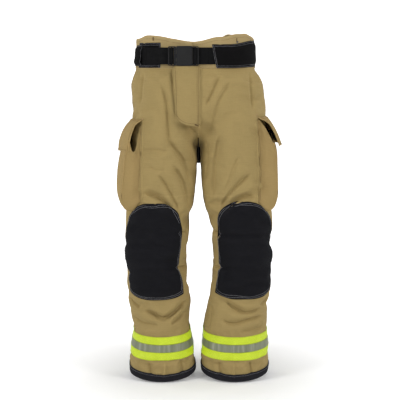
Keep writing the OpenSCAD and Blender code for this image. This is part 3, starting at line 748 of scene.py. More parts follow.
skin = build_skin()
P = coords(skin) * 1000
N = normals(skin)
h = fold_height(P, N)
mid = sstep(P[:, 2], 60, 160)
h += 2.0 * value_noise(P, (70, 60, 55), 3) * mid + 1.0 * value_noise(P, (34, 34, 26), 5)
h += 1.2 * value_noise(P + 0.35 * P[:, [2, 0, 1]], (90, 60, 16), 8) * mid
P = P + N * h[:, None]
set_coords(skin, P / 1000)
cut(skin, (0, 0, 0.947), (0, 0, 1))
cut(skin, (0, FY / 1000, 0.0235), (0, HEM_TAN, -1))


def wrinkle_by_cloth(ob, frames, grow, cap, pin_fn, bend=6.0, pressure=1.2, stiff=18.0, mass=0.25):
    """lets the cloth take up a little extra length by buckling, holds where pin_fn says, caps the travel and applies the result"""
    base = coords(ob).copy()
    vg = ob.vertex_groups.new(name="pin")
    w = np.clip(pin_fn(base * 1000), 0, 1)
    for lv in range(0, 11):
        ids = np.nonzero(np.round(w * 10).astype(int) == lv)[0]
        if len(ids) and lv:
            vg.add([int(i) for i in ids], lv / 10, "REPLACE")
    m = ob.modifiers.new("c", "CLOTH")
    s = m.settings
    s.quality = 4
    s.mass = mass
    s.tension_stiffness = s.compression_stiffness = stiff
    s.shear_stiffness = stiff * 0.4
    s.bending_stiffness = bend
    s.tension_damping = s.compression_damping = s.shear_damping = 6
    s.air_damping = 3
    s.bending_damping = 1
    s.effector_weights.gravity = 0.0
    s.vertex_group_mass = "pin"
    s.pin_stiffness = 2.0
    s.shrink_min = -grow
    s.use_pressure = True
    s.uniform_pressure_force = pressure
    m.collision_settings.use_collision = False
    m.collision_settings.use_self_collision = False
    m.point_cache.frame_start = 1
    m.point_cache.frame_end = frames
    sc = bpy.context.scene
    sc.frame_start, sc.frame_end = 1, frames
    for f in range(1, frames + 1):
        sc.frame_set(f)
    dg = bpy.context.evaluated_depsgraph_get()
    me = ob.evaluated_get(dg).to_mesh()
    a = np.empty(len(me.vertices) * 3)
    me.vertices.foreach_get("co", a)
    a = a.reshape(-1, 3)
    ob.evaluated_get(dg).to_mesh_clear()
    ob.modifiers.clear()
    sc.frame_set(1)
    d = (a - base) * 1000
    r = np.linalg.norm(d, axis=1)
    k = np.where(r > 1e-6, cap * np.tanh(r / cap) / np.maximum(r, 1e-6), 1)
    print("cloth", ob.name, "moved mm: mean %.2f max %.2f" % (r.mean(), r.max()))
    set_coords(ob, base + d * k[:, None] / 1000)
    return ob


def pins(P):
    top = sstep(P[:, 2], 915, 945)
    hem = sstep(hem_z(P[:, 1]) + 40 - P[:, 2], 0, 22)
    trim = np.exp(-((P[:, 2] - 112) / 34) ** 2) * 0.5
    return np.maximum.reduce([top, hem, trim])
wrinkle_by_cloth(skin, 22, 0.035, 6.0, pins)

S0, N0 = coords(skin).copy(), normals(skin).copy()
F0 = [tuple(p.vertices) for p in skin.data.polygons]
subsurf(skin, 1)
smooth_all(skin)
# the crisp bottoms of the folds, and small sharp puckers, on the finer mesh
_p, _n = coords(skin) * 1000, normals(skin)
_h = fold_height(_p, _n, 1.5, 0.27, False)
_q = value_noise(_p + 0.5 * _p[:, [1, 2, 0]], (46, 40, 22), 17)
_h += 1.3 * (0.35 - np.abs(_q)) * sstep(_p[:, 2], 150, 190) * (1 - sstep(_p[:, 2], 900, 940))
_h = np.maximum(_h, -6.0)          # stays outside the liner
_p = _p + _n * _h[:, None]
# under the fly the cloth lies flat behind the zip, so that the slider runs clear of it
_a = np.array(SEAT_T, float)
_b = np.where(_p[:, 2] < 820, np.interp(_p[:, 2], [745, 765, 783, 820], [120, 128, 130, 132]), np.interp(_p[:, 2], _a[:, 0], _a[:, 3]))
_u = np.clip(np.abs(_p[:, 0] - np.interp(_p[:, 2], _a[:, 0], _a[:, 1])) / np.interp(_p[:, 2], _a[:, 0], _a[:, 2]), 0, 0.99)
_cy = np.interp(_p[:, 2], [700, 900, 964, 1060], [5, 5, 2, 2]) + FY
_ref = _cy - _b * (1 - _u ** 2.4) ** (1 / 2.4) + 1.5
_m = (_p[:, 1] < 0) * sstep(_p[:, 0], -76, -64) * (1 - sstep(_p[:, 0], -8, 0)) * sstep(_p[:, 2], 765, 785) * (1 - sstep(_p[:, 2], 930, 942))
_p[:, 1] += _m * np.maximum(0, _ref - _p[:, 1])
set_coords(skin, _p / 1000)
SK = coords(skin)
SN = normals(skin)
SF = [tuple(p.vertices) for p in skin.data.polygons]
print("skin", len(SK), "points")
BVH = BVHTree.FromPolygons([tuple(v) for v in SK], SF)


def ray(o, d, far=2.0):
    """first hit from o along d; all in metres; returns point and outward normal"""
    loc, nor, idx, dist = BVH.ray_cast(Vector(o), Vector(d), far)
    if loc is None:
        return None, None
    n = Vector((0, 0, 0))
    wsum = 0
    for vi in SF[idx]:
        w = 1.0 / (1e-5 + (Vector(SK[vi]) - loc).length)
        n += Vector(SN[vi]) * w
        wsum += w
    return np.array(loc), np.array((n / wsum).normalized())


def on_leg(side, psi, z):
    """point and normal on a leg's skin at polar angle psi (radians, 0 = +X, -pi/2 = front) and height z (mm)"""
    cx, a, cy, b = leg_section(side, z)
    o = np.array([cx + 300 * math.cos(psi), cy + 300 * math.sin(psi), z]) / 1000
    # start just outside this leg, so that the other leg isn't hit
    k = 1.0
    r = 1.0 / ((abs(math.cos(psi)) / a) ** 2.3 + (abs(math.sin(psi)) / b) ** 2.3) ** (1 / 2.3)
    start = np.array([cx + (r + 14) * math.cos(psi), cy + (r + 14) * math.sin(psi), z]) / 1000
    d = (-math.cos(psi), -math.sin(psi), 0)
    p, n = ray(start, d, 0.06)
    if p is None:
        p = np.array([cx + r * math.cos(psi), cy + r * math.sin(psi), z]) / 1000
        n = np.array([math.cos(psi), math.sin(psi), 0])
    return p, n


def front_psi(side, x, z):
    """polar angle of the front-surface point seen at x (mm) on a leg"""
    cx, a, cy, b = leg_section(side, z)
    u = np.clip((x - cx) / a, -0.995, 0.995)
    y = -b * (1 - abs(u) ** 2.3) ** (1 / 2.3)
    return math.atan2(y, x - cx)


# split the skin into four pieces, left and right, above and below the thigh split; the hip and knee axes follow
HIP = 0.70
HA, HB = 0.051, 0.0426
HIP_T = lambda s: ((0, 0, HIP), (s * HA, 0, HIP - HB))
KNEE_T = ((0, 0, 0.500), (0, 0, 0.330))
SPLIT_Z = 0.560


def submesh(name, keep, t, mats, uvfn):
    """a closed sheet of thickness t (m) from the kept faces of the skin, with the whole skin's normals"""
    F = [f for f, k in zip(SF, keep) if k]
    used = np.unique(np.array([i for f in F for i in f]))
    new = -np.ones(len(SK), int)
    new[used] = np.arange(len(used))
    F = [tuple(new[list(f)]) for f in F]
    V, Nn = SK[used], SN[used]
    n = len(V)
    from collections import Counter
    edges = Counter()
    direct = {}
    for f in F:
        for a, b in zip(f, f[1:] + f[:1]):
            edges[(min(a, b), max(a, b))] += 1
            direct[(min(a, b), max(a, b))] = (a, b)
    faces = list(F) + [tuple(i + n for i in f[::-1]) for f in F]
    for e, c in edges.items():
        if c == 1:
            a, b = direct[e]
            faces.append((b, a, a + n, b + n))
    ob = new_mesh(name, np.concatenate([V, V - t * Nn]), faces)
    uv_from(ob, uvfn)
    ob.data.normals_split_custom_set_from_vertices([tuple(x) for x in np.concatenate([Nn, -Nn])])
    for i, m in enumerate(mats):
        ob.data.materials.append(M[m])
    if len(mats) > 1:
        idx = np.zeros(len(ob.data.polygons), np.int32)
        idx[len(F):] = 1
        ob.data.polygons.foreach_set("material_index", idx)
    return ob


def leg_uv(side):
    def fn(co):
        z = co[:, 2] * 1000
        o, i = np.interp(z, [r[0] for r in LEG_T[side]], [r[1] for r in LEG_T[side]]), np.interp(z, [r[0] for r in LEG_T[side]], [r[2] for r in LEG_T[side]])
        cx = np.where(z > 740, side * 100, side * (o + i) / 2)
        psi = np.arctan2(-(co[:, 0] * 1000 - cx) * 1.0, co[:, 1] * 1000 - FY)
        return np.stack([psi * 0.1, co[:, 2]], 1)
    return fn


fc = np.array([SK[list(f)].mean(0) for f in SF])
pieces = {}
for name, s in SIDES:
    side_m = fc[:, 0] * s > 0
    up = fc[:, 2] > SPLIT_Z
    a = submesh(f"shell_seat_{name}", side_m & up, 0.0016, ["tan", "tan"], leg_uv(s))
    b = submesh(f"shell_leg_{name}", side_m & ~up, 0.0016, ["tan", "tan"], leg_uv(s))
    pieces[f"seat_{name}"], pieces[f"leg_{name}"] = a, b
    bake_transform(a)
    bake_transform(b)
    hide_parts(f"seat_front_{name}", f"seat_back_{name}")
    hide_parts(f"thigh_front_{name}", f"thigh_back_{name}", f"shin_front_{name}", f"shin_back_{name}")
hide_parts("seat_moisture_barrier")
drop(skin)
# the crotch gusset: a saddle that hangs in the fork, from front to back; its near-black is painted shade for the dark
# fork
gz, gy = np.linspace(642, 742, 14), np.linspace(-58, 84, 18)
GP, GN = np.zeros((18, 14, 3)), np.zeros((18, 14, 3))
for gi, yy in enumerate(gy):
    low = 642 + 62 * ((72 - yy) / 130) ** 1.3 if yy < 72 else 642
    for gj in range(14):
        zz = low + (742 - low) * gj / 13
        GP[gi, gj] = (-1.0 + 1.4 * math.sin(yy / 17.0 + zz / 23.0), yy + FY, zz)
        GN[gi, gj] = (1, 0, 0)
gus = sheet("crotch_gusset_cloth", GP / 1000, GN, 0.0024)
back = np.zeros((9, 14, 3))
bn = np.zeros((9, 14, 3))
for gi in range(9):
    for gj in range(14):
        xx, zz = -9 + 18 * gi / 8, 644 + 100 * gj / 13
        back[gi, gj] = (xx * (0.55 + 0.45 * min(1, (zz - 644) / 40)) - 1, 78 + FY - 0.05 * xx * xx + 1.2 * math.sin(zz / 11), zz)
        bn[gi, gj] = (0, -1, 0)
gus2 = sheet("crotch_gusset_back_cloth", back / 1000, bn, 0.0022)
for gg in (gus, gus2):
    bm_ = bmesh.new()
    bm_.from_mesh(gg.data)
    bmesh.ops.recalc_face_normals(bm_, faces=bm_.faces)
    bm_.to_mesh(gg.data)
    bm_.free()
    uv_from(gg, lambda co: np.stack([co[:, 1] + co[:, 0], co[:, 2]], 1))
    subsurf(gg, 1)
    smooth_all(gg)
    # painted shade: both gusset sheets take the darker waist black, which gives the deep shadow in the fork
    paint(gg, "black_waist")
    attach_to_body(gg, "trousers")
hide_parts("crotch_gusset")

# ------------------------------------------------------------------ linings, as offset copies of the coarse skin
def lining(name, keep, o1, o2, mats, uvfn):
    F = [f for f, k in zip(F0, keep) if k]
    used = np.unique(np.array([i for f in F for i in f]))
    new = -np.ones(len(S0), int)
    new[used] = np.arange(len(used))
    F = [tuple(new[list(f)]) for f in F]
    V, Nn = S0[used], N0[used]
    n = len(V)
    seen = {}
    for f in F:
        for a, b in zip(f, f[1:] + f[:1]):
            k = (min(a, b), max(a, b))
            seen[k] = None if k in seen else (a, b)
    faces = list(F) + [tuple(i + n for i in f[::-1]) for f in F]
    faces += [(e[1], e[0], e[0] + n, e[1] + n) for e in seen.values() if e]
    ob = new_mesh(name, np.concatenate([V - o1 * Nn, V - o2 * Nn]), faces)
    uv_from(ob, uvfn)
    ob.data.normals_split_custom_set_from_vertices([tuple(x) for x in np.concatenate([Nn, -Nn])])
    paint(ob, *mats)
    if len(mats) > 1:
        # quilted inside; the outer face has the shell's colour, as the liner pushes through the groin fold at full hip bend
        idx = np.zeros(len(ob.data.polygons), np.int32)
        idx[len(F):] = 1
        ob.data.polygons.foreach_set("material_index", idx)
    return ob


fc0 = np.array([S0[list(f)].mean(0) for f in F0])
hemz0 = (23.5 + (fc0[:, 1] * 1000 - FY) * HEM_TAN) / 1000
for name, s in SIDES:
    side_m = (fc0[:, 0] * s > 0) & (fc0[:, 2] > hemz0 + 0.006)
    up = fc0[:, 2] > SPLIT_Z
    a = lining(f"thermal_liner_seat_{name}", side_m & up, 0.0088, 0.0116, ["tan", "quilt"], leg_uv(s))
    b = lining(f"thermal_liner_leg_{name}", side_m & ~up, 0.0088, 0.0116, ["tan", "quilt"], leg_uv(s))
    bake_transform(a)
    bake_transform(b)
    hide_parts(f"thigh_liner_{name}")
    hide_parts(f"shin_liner_{name}")
    if s == 1:
        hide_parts("seat_thermal_liner", f"thigh_liner_{name}")


# ------------------------------------------------------------------ general surface helpers, in mm
def front(x, z, back=False):
    """point (mm) and normal on the skin as seen from the front, or from behind"""
    s = 1 if back else -1
    p, n = ray((x / 1000, s * 0.5, min(z, 945) / 1000), (0, -s, 0), 1.0)
    if p is None:
        return None, None
    p = p * 1000
    p[2] = z
    return p, n


def outer(side, y, z):
    p, n = ray((side * 0.5, y / 1000, min(z, 945) / 1000), (-side, 0, 0), 0.42)
    if p is None:
        return None, None
    p = p * 1000
    p[2] = z
    return p, n


def grid_normals(P, close_u=False):
    """unit normals of a (nu, nv, 3) grid: cross of the u and v directions"""
    if close_u:
        du = np.roll(P, -1, 0) - np.roll(P, 1, 0)
    else:
        du = np.gradient(P, axis=0)
    dv = np.gradient(P, axis=1)
    n = np.cross(du, dv)
    return n / np.maximum(np.linalg.norm(n, axis=2, keepdims=True), 1e-9)


def fill(P):
    """fills missing (nan) points of a grid along u from their neighbours"""
    for j in range(P.shape[1]):
        for c in range(3):
            a = P[:, j, c]
            m = np.isnan(a)
            if m.any() and not m.all():
                i = np.arange(len(a))
                a[m] = np.interp(i[m], i[~m], a[~m])
    return P


def uv_grid(ob, nu, nv, lu, lv, extra=0):
    """UVs in metres for a sheet() made from an nu by nv grid"""
    me = ob.data
    lay = me.uv_layers.get("UVMap") or me.uv_layers.new(name="UVMap")
    idx = np.empty(len(me.loops), np.int64)
    me.loops.foreach_get("vertex_index", idx)
    k = idx % (nu * nv)
    i, j = k // nv, k % nv
    uv = np.stack([i / max(nu - 1, 1) * lu, j / max(nv - 1, 1) * lv], 1)
    lay.data.foreach_set("uv", uv.astype(np.float32).ravel())


def cloth_sheet(name, P, N, t, mat, lu, lv, close_u=False, flip=False, levels=1, round_edge=True):
    """sheet() in mm with softened edges, UVs and a material"""
    nu, nv = P.shape[:2]
    ob = sheet(name, P / 1000, N, t / 1000, close_u, flip)
    uv_grid(ob, nu, nv, lu / 1000, lv / 1000)
    if levels:
        subsurf(ob, levels)
    smooth_all(ob)
    return paint(ob, mat)


def tube_along(name, pts, r, mat, k=6, closed=False):
    pts = np.array(pts, float)
    n = len(pts)
    d = np.gradient(pts, axis=0)
    d /= np.maximum(np.linalg.norm(d, axis=1, keepdims=True), 1e-9)
    up = np.array([0.0, 0.0, 1.0])
    v, f = [], []
    for i in range(n):
        a = np.cross(d[i], up)
        if np.linalg.norm(a) < 1e-3:
            a = np.cross(d[i], [1.0, 0, 0])
        a /= np.linalg.norm(a)
        b = np.cross(d[i], a)
        for j in range(k):
            t = 2 * math.pi * j / k
            v.append(pts[i] + r * (a * math.cos(t) + b * math.sin(t)))
    f = grid_faces(n, k, False, True, True)
    c0, c1 = len(v), len(v) + 1
    v += [pts[0], pts[-1]]
    for j in range(k):
        f.append((c0, j, (j + 1) % k))
        f.append((c1, (n - 1) * k + (j + 1) % k, (n - 1) * k + j))
    return new_mesh(name, np.array(v) / 1000, f)


class Stitches:
    """collects single stitches, each a small rounded capsule lying on the cloth, and makes one mesh of them"""
    def __init__(self):
        self.v, self.f = [], []

    def add(self, a, b, n, w=0.45):
        a, b, n = np.array(a, float), np.array(b, float), np.array(n, float)
        d = b - a
        L = np.linalg.norm(d)
        if L < 1e-6:
            return
        d /= L
        s = np.cross(n, d)
        s /= max(np.linalg.norm(s), 1e-9)
        o = len(self.v)
        for t, r, lift in ((0.0, 0.35, -0.15), (0.18, 0.9, 0.25), (0.5, 1.0, 0.42), (0.82, 0.9, 0.25), (1.0, 0.35, -0.15)):
            c = a + d * L * t + n * lift
            for k in range(5):
                an = math.pi * (k / 4)
                self.v.append(c + s * w * r * math.cos(an) + n * w * r * math.sin(an) * 0.9)
        for i in range(4):
            for k in range(4):
                q = o + i * 5 + k
                self.f.append((q, q + 5, q + 6, q + 1))

    def line(self, P, N, pitch=3.6, gap=1.0, lift=0.1, w=0.45):
        """stitches along a path with given normals, in mm"""
        P, N = np.array(P, float), np.array(N, float)
        ok = ~np.isnan(P).any(1)
        P, N = P[ok], N[ok]
        if len(P) < 2:
            return self
        s = np.r_[0, np.cumsum(np.linalg.norm(np.diff(P, axis=0), axis=1))]
        n = int(s[-1] / pitch)
        for i in range(n):
            t0, t1 = i * pitch, i * pitch + pitch - gap
            q = [np.array([np.interp(t, s, A[:, c]) for c in range(3)]) for t in (t0, t1) for A in (P, N)]
            nn = q[1] / max(np.linalg.norm(q[1]), 1e-9)
            self.add(q[0] + nn * lift, q[2] + nn * lift, nn, w)
        return self

    def build(self, name, mat):
        if not self.f:
            return None
        ob = new_mesh(name, np.array(self.v) / 1000, self.f)
        return paint(ob, mat)


def welt(name, P, N, width, t, mat, rows=5):
    """a folded seam allowance: a low rounded strip that lies along a path on the cloth, in mm"""
    P, N = np.array(P, float), np.array(N, float)
    ok = ~np.isnan(P).any(1)
    P, N = P[ok], N[ok]
    d = np.gradient(P, axis=0)
    d /= np.maximum(np.linalg.norm(d, axis=1, keepdims=True), 1e-9)
    s = np.cross(N, d)
    s /= np.maximum(np.linalg.norm(s, axis=1, keepdims=True), 1e-9)
    v = np.linspace(-1, 1, rows)
    prof = t * (1 - np.abs(v) ** 3)
    G_ = P[:, None, :] + s[:, None, :] * (v * width / 2)[None, :, None] + N[:, None, :] * (prof + 0.1)[None, :, None]
    NN = np.repeat(N[:, None, :], rows, 1)
    L = np.linalg.norm(np.diff(P, axis=0), axis=1).sum()
    ob = sheet(name, G_ / 1000, NN, (t * 0.5 + 0.6) / 1000, flip=True)
    uv_grid(ob, len(P), rows, L / 1000, width / 1000)
    fix_normals(ob)
    smooth_all(ob)
    return paint(ob, mat)


def path_on_front(pts, step=6, back=False, lift=0.0):
    pts = np.array(pts, float)
    for _ in range(2):
        q = [pts[0]]
        for a, b in zip(pts[:-1], pts[1:]):
            q += [0.75 * a + 0.25 * b, 0.25 * a + 0.75 * b]
        q.append(pts[-1])
        pts = np.array(q)
    s = np.r_[0, np.cumsum(np.linalg.norm(np.diff(pts, axis=0), axis=1))]
    n = max(3, int(s[-1] / step))
    P, N = [], []
    for t in np.linspace(0, s[-1], n):
        x, z = np.interp(t, s, pts[:, 0]), np.interp(t, s, pts[:, 1])
        p, nn = front(x, z, back)
        if p is None:
            continue
        P.append(p + nn * lift)
        N.append(nn)
    return np.array(P), np.array(N)


# groups of stitches by the piece they lie on
ST = {k: Stitches() for k in ("seat_left", "seat_right", "leg_left", "leg_right", "fly", "band")}
BENDS = {}
for name, s in SIDES:
    BENDS[f"seat_{name}"] = ("trousers", f"thigh_{name}", *HIP_T(s))
    BENDS[f"leg_{name}"] = (f"thigh_{name}", f"shin_{name}", *KNEE_T)


def attach(ob, key):
    """applies the transform for a key of the bending groups, else rides with one of the bodies"""
    if key in BENDS:
        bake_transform(ob)
    else:
        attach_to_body(ob, key)
    return ob


# ------------------------------------------------------------------ seams of the legs and the seat
def seam_path(side, psi_fn, z0, z1, step=7):
    P, N = [], []
    for z in np.arange(z0, z1, step if z1 > z0 else -step):
        p, n = on_leg(side, psi_fn(z), z)
        P.append(p * 1000)
        N.append(n)
    return np.array(P), np.array(N)


for name, s in SIDES:
    front_ = -math.pi / 2
    out = 0.0 if s == 1 else math.pi
    inn = math.pi if s == 1 else 0.0
    # side seam, a little behind the outermost line, from the hem to the split
    P_, N_ = seam_path(s, lambda z: (0.18 if s == 1 else math.pi - 0.18), 52, 556)
    attach(welt(f"side_seam_leg_{name}", P_, N_, 8, 0.9, "tan") or bpy.data.objects[f"side_seam_leg_{name}"], f"leg_{name}")
    for o in (-2.4, 2.4):
        t = np.gradient(P_, axis=0)
        t /= np.linalg.norm(t, axis=1, keepdims=True)
        ST[f"leg_{name}"].line(P_ + np.cross(N_, t) * o + N_ * 0.9, N_)
    # inner leg seam
    P_, N_ = seam_path(s, lambda z: (math.pi - 0.30 if s == 1 else 0.30), 52, 556)
    attach(welt(f"inner_seam_leg_{name}", P_, N_, 7, 0.8, "tan") or bpy.data.objects[f"inner_seam_leg_{name}"], f"leg_{name}")
    t = np.gradient(P_, axis=0)
    t /= np.linalg.norm(t, axis=1, keepdims=True)
    for o in (-2.0, 2.0):
        ST[f"leg_{name}"].line(P_ + np.cross(N_, t) * o + N_ * 0.8, N_)
    # the side seam of the seat and thigh
    P_, N_ = [], []
    for z in np.arange(562, 940, 7):
        p, n = outer(s, 12, z)
        if p is not None:
            P_.append(p)
            N_.append(n)
    P_, N_ = np.array(P_), np.array(N_)
    attach(welt(f"side_seam_seat_{name}", P_, N_, 8, 0.9, "tan") or bpy.data.objects[f"side_seam_seat_{name}"], f"seat_{name}")
    t = np.gradient(P_, axis=0)
    t /= np.linalg.norm(t, axis=1, keepdims=True)
    for o in (-2.4, 2.4):
        ST[f"seat_{name}"].line(P_ + np.cross(N_, t) * o + N_ * 0.9, N_)
    # knee darts on the inner leg
    for z in (450, 342):
        pts = [(s * (62 if s == -1 else 70), z + 1), (s * 55, z), (s * 47, z - 1)]
        P_, N_ = path_on_front(pts, 3)
        if len(P_) > 2:
            ST[f"leg_{name}"].line(P_, N_, 3.2, 0.9)
# the rise: from the fly to the crotch in front, and from the waist down the back
P_, N_ = path_on_front([(0, 768), (1, 752), (0, 742)], 4)
rise_f = welt("rise_seam_front", P_, N_, 7, 0.9, "tan")
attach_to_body(rise_f, "trousers")
P_, N_ = path_on_front([(-4, 940), (-2, 850), (0, 790), (0, 745)], 6, back=True)
rise_b = welt("rise_seam_back", P_, N_, 9, 1.0, "tan")
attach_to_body(rise_b, "trousers")
t = np.gradient(P_, axis=0)
t /= np.linalg.norm(t, axis=1, keepdims=True)
for o in (-2.6, 2.6):
    ST["band"].line(P_ + np.cross(N_, t) * o + N_ * 1.0, N_)
# back yoke seam
for name, s in SIDES:
    P_, N_ = path_on_front([(s * 6, 880), (s * 80, 892), (s * 160, 906)], 6, back=True)
    ST[f"seat_{name}"].line(P_, N_)
    ST[f"seat_{name}"].line(P_ - [0, 0, 5], N_)


# ------------------------------------------------------------------ the waist: band, lining, belt, sleeves
T_TAB = np.linspace(0, 2 * math.pi, 721)


def ring_pt(t, z, off):
    """point and outward normal on the seat's section at parameter t and height z, off mm outside"""
    cx, a, cy, b = seat_section(z)
    n = 2.4
    c, s = math.cos(t), math.sin(t)
    x, y = spow(c, 2 / n), spow(s, 2 / n)
    nx, ny = spow(abs(x), n - 1) * np.sign(x) / a, spow(abs(y), n - 1) * np.sign(y) / b
    L = math.hypot(nx, ny)
    return np.array([cx + a * x + off * nx / L, cy + b * y + off * ny / L, z]), np.array([nx / L, ny / L, 0.0])


_q = np.array([ring_pt(t, 978, 0)[0][:2] for t in T_TAB])
ARC = np.r_[0, np.cumsum(np.linalg.norm(np.diff(_q, axis=0), axis=1))]


def t_at(s):
    return float(np.interp(s % ARC[-1], ARC, T_TAB))


def s_at_front(x):
    """arc length at which the front of the ring is at x"""
    m = _q[:, 1] < FY
    i = np.argmin(np.where(m, np.abs(_q[:, 0] - x), 1e9))
    j = i + (1 if (_q[(i + 1) % 720, 0] - _q[i, 0]) * (x - _q[i, 0]) > 0 else -1)
    j = min(max(j, 0), 720)
    f = (x - _q[i, 0]) / (_q[j, 0] - _q[i, 0]) if _q[j, 0] != _q[i, 0] else 0
    return ARC[i] + f * (ARC[j] - ARC[i])


# the top edge of the waistband against a plain dip, front and back: x in mm, height in mm
TOP_X = [-190, -168, -156, -144, -132, -120, -109, -97, -85, -62, -38, -15, 9, 21, 32, 44, 56, 68, 79, 91, 103, 115, 127, 138, 150, 162]
TOP_Z = [0, 0, 5, 8, 9, 10, 10, 8, 6, 6, 5, 1, 4, 6, 11, 14, 16, 14, 12, 14, 16, 14, 9, 6, 8, 2]


def band_top(x, y):
    u = (x + 10) / 172
    z = 1018 + 25 * min(1.0, u * u)
    z += 1.4 * math.sin(x / 17.0 + 0.6) * (1 - min(1, abs(u))) + 1.1 * math.sin(x / 41.0 + y / 30)
    z += float(np.mean(np.interp([x - 12, x - 6, x, x + 6, x + 12], TOP_X, TOP_Z)))
    z -= 13 * float(sstep(abs(u), 0.84, 1.04))          # rounded at the sides
    if y > 20:
        z += 9 * math.exp(-((x - 88) / 17) ** 2) + 4 * math.exp(-((x + 95) / 50) ** 2)
    else:
        z += 1.5 * math.exp(-((x - 138) / 16) ** 2)
    return z


S_FLY = s_at_front(-36)
NU = 300
BAND = []     # profile across the waistband: (share of height, offset)
for k, (v, o) in enumerate([(0.0, 0.6), (0.004, 1.7), (0.03, 2.3), (0.12, 2.0), (0.3, 2.2), (0.5, 2.3), (0.7, 2.5), (0.86, 3.2), (0.93, 3.5), (0.975, 3.0), (0.995, 1.6), (1.0, -0.4),
                            (0.99, -2.6), (0.96, -3.6), (0.9, -3.9), (0.7, -3.0), (0.4, -2.6), (0.1, -2.6), (0.0, -2.4)]):
    BAND.append((v, o))
P3 = np.zeros((NU, len(BAND), 3))
for i in range(NU):
    s_ = S_FLY + 1.5 + (ARC[-1] + 16.0) * i / (NU - 1)
    t_ = t_at(s_)
    lap = 5.6 * sstep(s_ - S_FLY - ARC[-1], -22, 0)      # the right end lies over the left one
    p0, n0 = ring_pt(t_, 990, 0)
    top = band_top(p0[0], p0[1])
    ru = value_noise(np.array([[s_ * 1.0, 0, 0]]), (26, 10, 10), 11)[0]
    ru2 = value_noise(np.array([[s_ * 1.0, 50, 0]]), (11, 10, 10), 12)[0]
    for k, (v, o) in enumerate(BAND):
        z = 941 + (top - 941) * v
        w_ = math.sin(math.pi * min(1, max(0, v)))
        free = sstep(v, 0.62, 0.9)
        p, n = ring_pt(t_, z, o + lap + w_ * (1.5 * ru + 0.8 * ru2) + free * (0.6 * ru2))
        p[2] += free * 0.5 * ru
        P3[i, k] = p
v_ = P3.reshape(-1, 3) / 1000
nb = len(BAND)
f_ = grid_faces(NU, nb, False, True, False)
f_ += [tuple(range(nb))[::-1], tuple((NU - 1) * nb + k for k in range(nb))]
band = new_mesh("waistband_shell", v_, f_)
fix_normals(band)
me = band.data
lay = me.uv_layers.new(name="UVMap")
idx = np.empty(len(me.loops), np.int64)
me.loops.foreach_get("vertex_index", idx)
lay.data.foreach_set("uv", np.stack([(idx // nb) / NU * ARC[-1] / 1000, v_[idx, 2]], 1).astype(np.float32).ravel())
subsurf(band, 1)
smooth_all(band)
paint(band, "tan_dark")
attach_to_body(band, "trousers")
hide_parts("waistband")


def ring_sheet(name, s0, s1, nu, zoff, t, mat, levels=0, closed=False):
    """a sheet round the waist from arc length s0 to s1; zoff(i-share, t, p) gives a list of (z, offset)"""
    rows = None
    P_, N_ = [], []
    for i in range(nu):
        sh = i / (nu if closed else nu - 1)
        s_ = s0 + (s1 - s0) * sh
        t_ = t_at(s_)
        p0, n0 = ring_pt(t_, 978, 0)
        col, cn = [], []
        for z, o in zoff(sh, s_, p0):
            p, n = ring_pt(t_, z, o)
            col.append(p)
            cn.append(n)
        P_.append(col)
        N_.append(cn)
    P_, N_ = np.array(P_), np.array(N_)
    lv = abs(P_[0, -1, 2] - P_[0, 0, 2])
    return cloth_sheet(name, P_, N_, t, mat, abs(s1 - s0), lv, closed, levels=levels), P_, N_


lining_ob, _, _ = ring_sheet("waistband_lining_black", S_FLY + 3, S_FLY + ARC[-1] - 3, 200,
                             lambda sh, s_, p: [(944 + (band_top(p[0], p[1]) - 3.5 - 944) * v, -4.1 - 0.9 * math.sin(math.pi * v) + (1.0 if v > 0.97 else 0)) for v in np.linspace(0, 1, 9)],
                             1.3, "black_lining", levels=1)
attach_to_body(lining_ob, "trousers")
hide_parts("waistband_lining")

# stitching along the top of the band and above the seam
for z_off, share in ((-11, 1), (7.5, 0), (3.5, 0)):
    P_, N_ = [], []
    for s_ in np.arange(S_FLY + 4, S_FLY + ARC[-1] - 4, 4):
        t_ = t_at(s_)
        p0, _ = ring_pt(t_, 990, 0)
        z = band_top(p0[0], p0[1]) + z_off if share else 941 + z_off
        p, n = ring_pt(t_, z, 3.0 if share else 2.5)
        P_.append(p)
        N_.append(n)
    ST["band"].line(P_, N_, 3.8, 1.1)

# the belt: webbing through the socket's slots, round the back and into the keeper
BZ, BYR = 978, -127.6 + FY


def surf_y(x, off):
    s_ = s_at_front(x)
    return ring_pt(t_at(s_), 978, off)[0][1]


def strap(name, path, mat="webbing", t=1.8, half=25, rows=9, curl=0.5, z_mid=BZ):
    path = np.array(path, float)
    d = np.gradient(path, axis=0)
    d /= np.maximum(np.linalg.norm(d, axis=1, keepdims=True), 1e-9)
    nrm = np.stack([d[:, 1], -d[:, 0], np.zeros(len(d))], 1)
    v = np.linspace(-1, 1, rows)
    P_ = np.zeros((len(path), rows, 3))
    for j, q in enumerate(v):
        P_[:, j, :2] = path - nrm[:, :2] * (curl * abs(q) ** 4)
        P_[:, j, 2] = z_mid + q * half
    N_ = np.repeat(nrm[:, None, :], rows, 1)
    L = np.linalg.norm(np.diff(path, axis=0), axis=1).sum()
    ob = sheet(name, P_ / 1000, N_, t / 1000)
    uv_grid(ob, len(path), rows, L / 1000, 2 * half / 1000)
    fix_normals(ob)
    smooth_all(ob)
    bev = ob.modifiers.new("b", "BEVEL")
    bev.width = 0.0004
    bev.segments = 2
    bev.limit_method = "ANGLE"
    bev.angle_limit = math.radians(50)
    apply_mods(ob)
    smooth_all(ob)
    return paint(ob, mat), P_, N_


def smooth_path(pts, n):
    pts = np.array(pts, float)
    for _ in range(3):
        q = [pts[0]]
        for a, b in zip(pts[:-1], pts[1:]):
            q += [0.75 * a + 0.25 * b, 0.25 * a + 0.75 * b]
        q.append(pts[-1])
        pts = np.array(q)
    s = np.r_[0, np.cumsum(np.linalg.norm(np.diff(pts, axis=0), axis=1))]
    t = np.linspace(0, s[-1], n)
    return np.stack([np.interp(t, s, pts[:, 0]), np.interp(t, s, pts[:, 1])], 1)


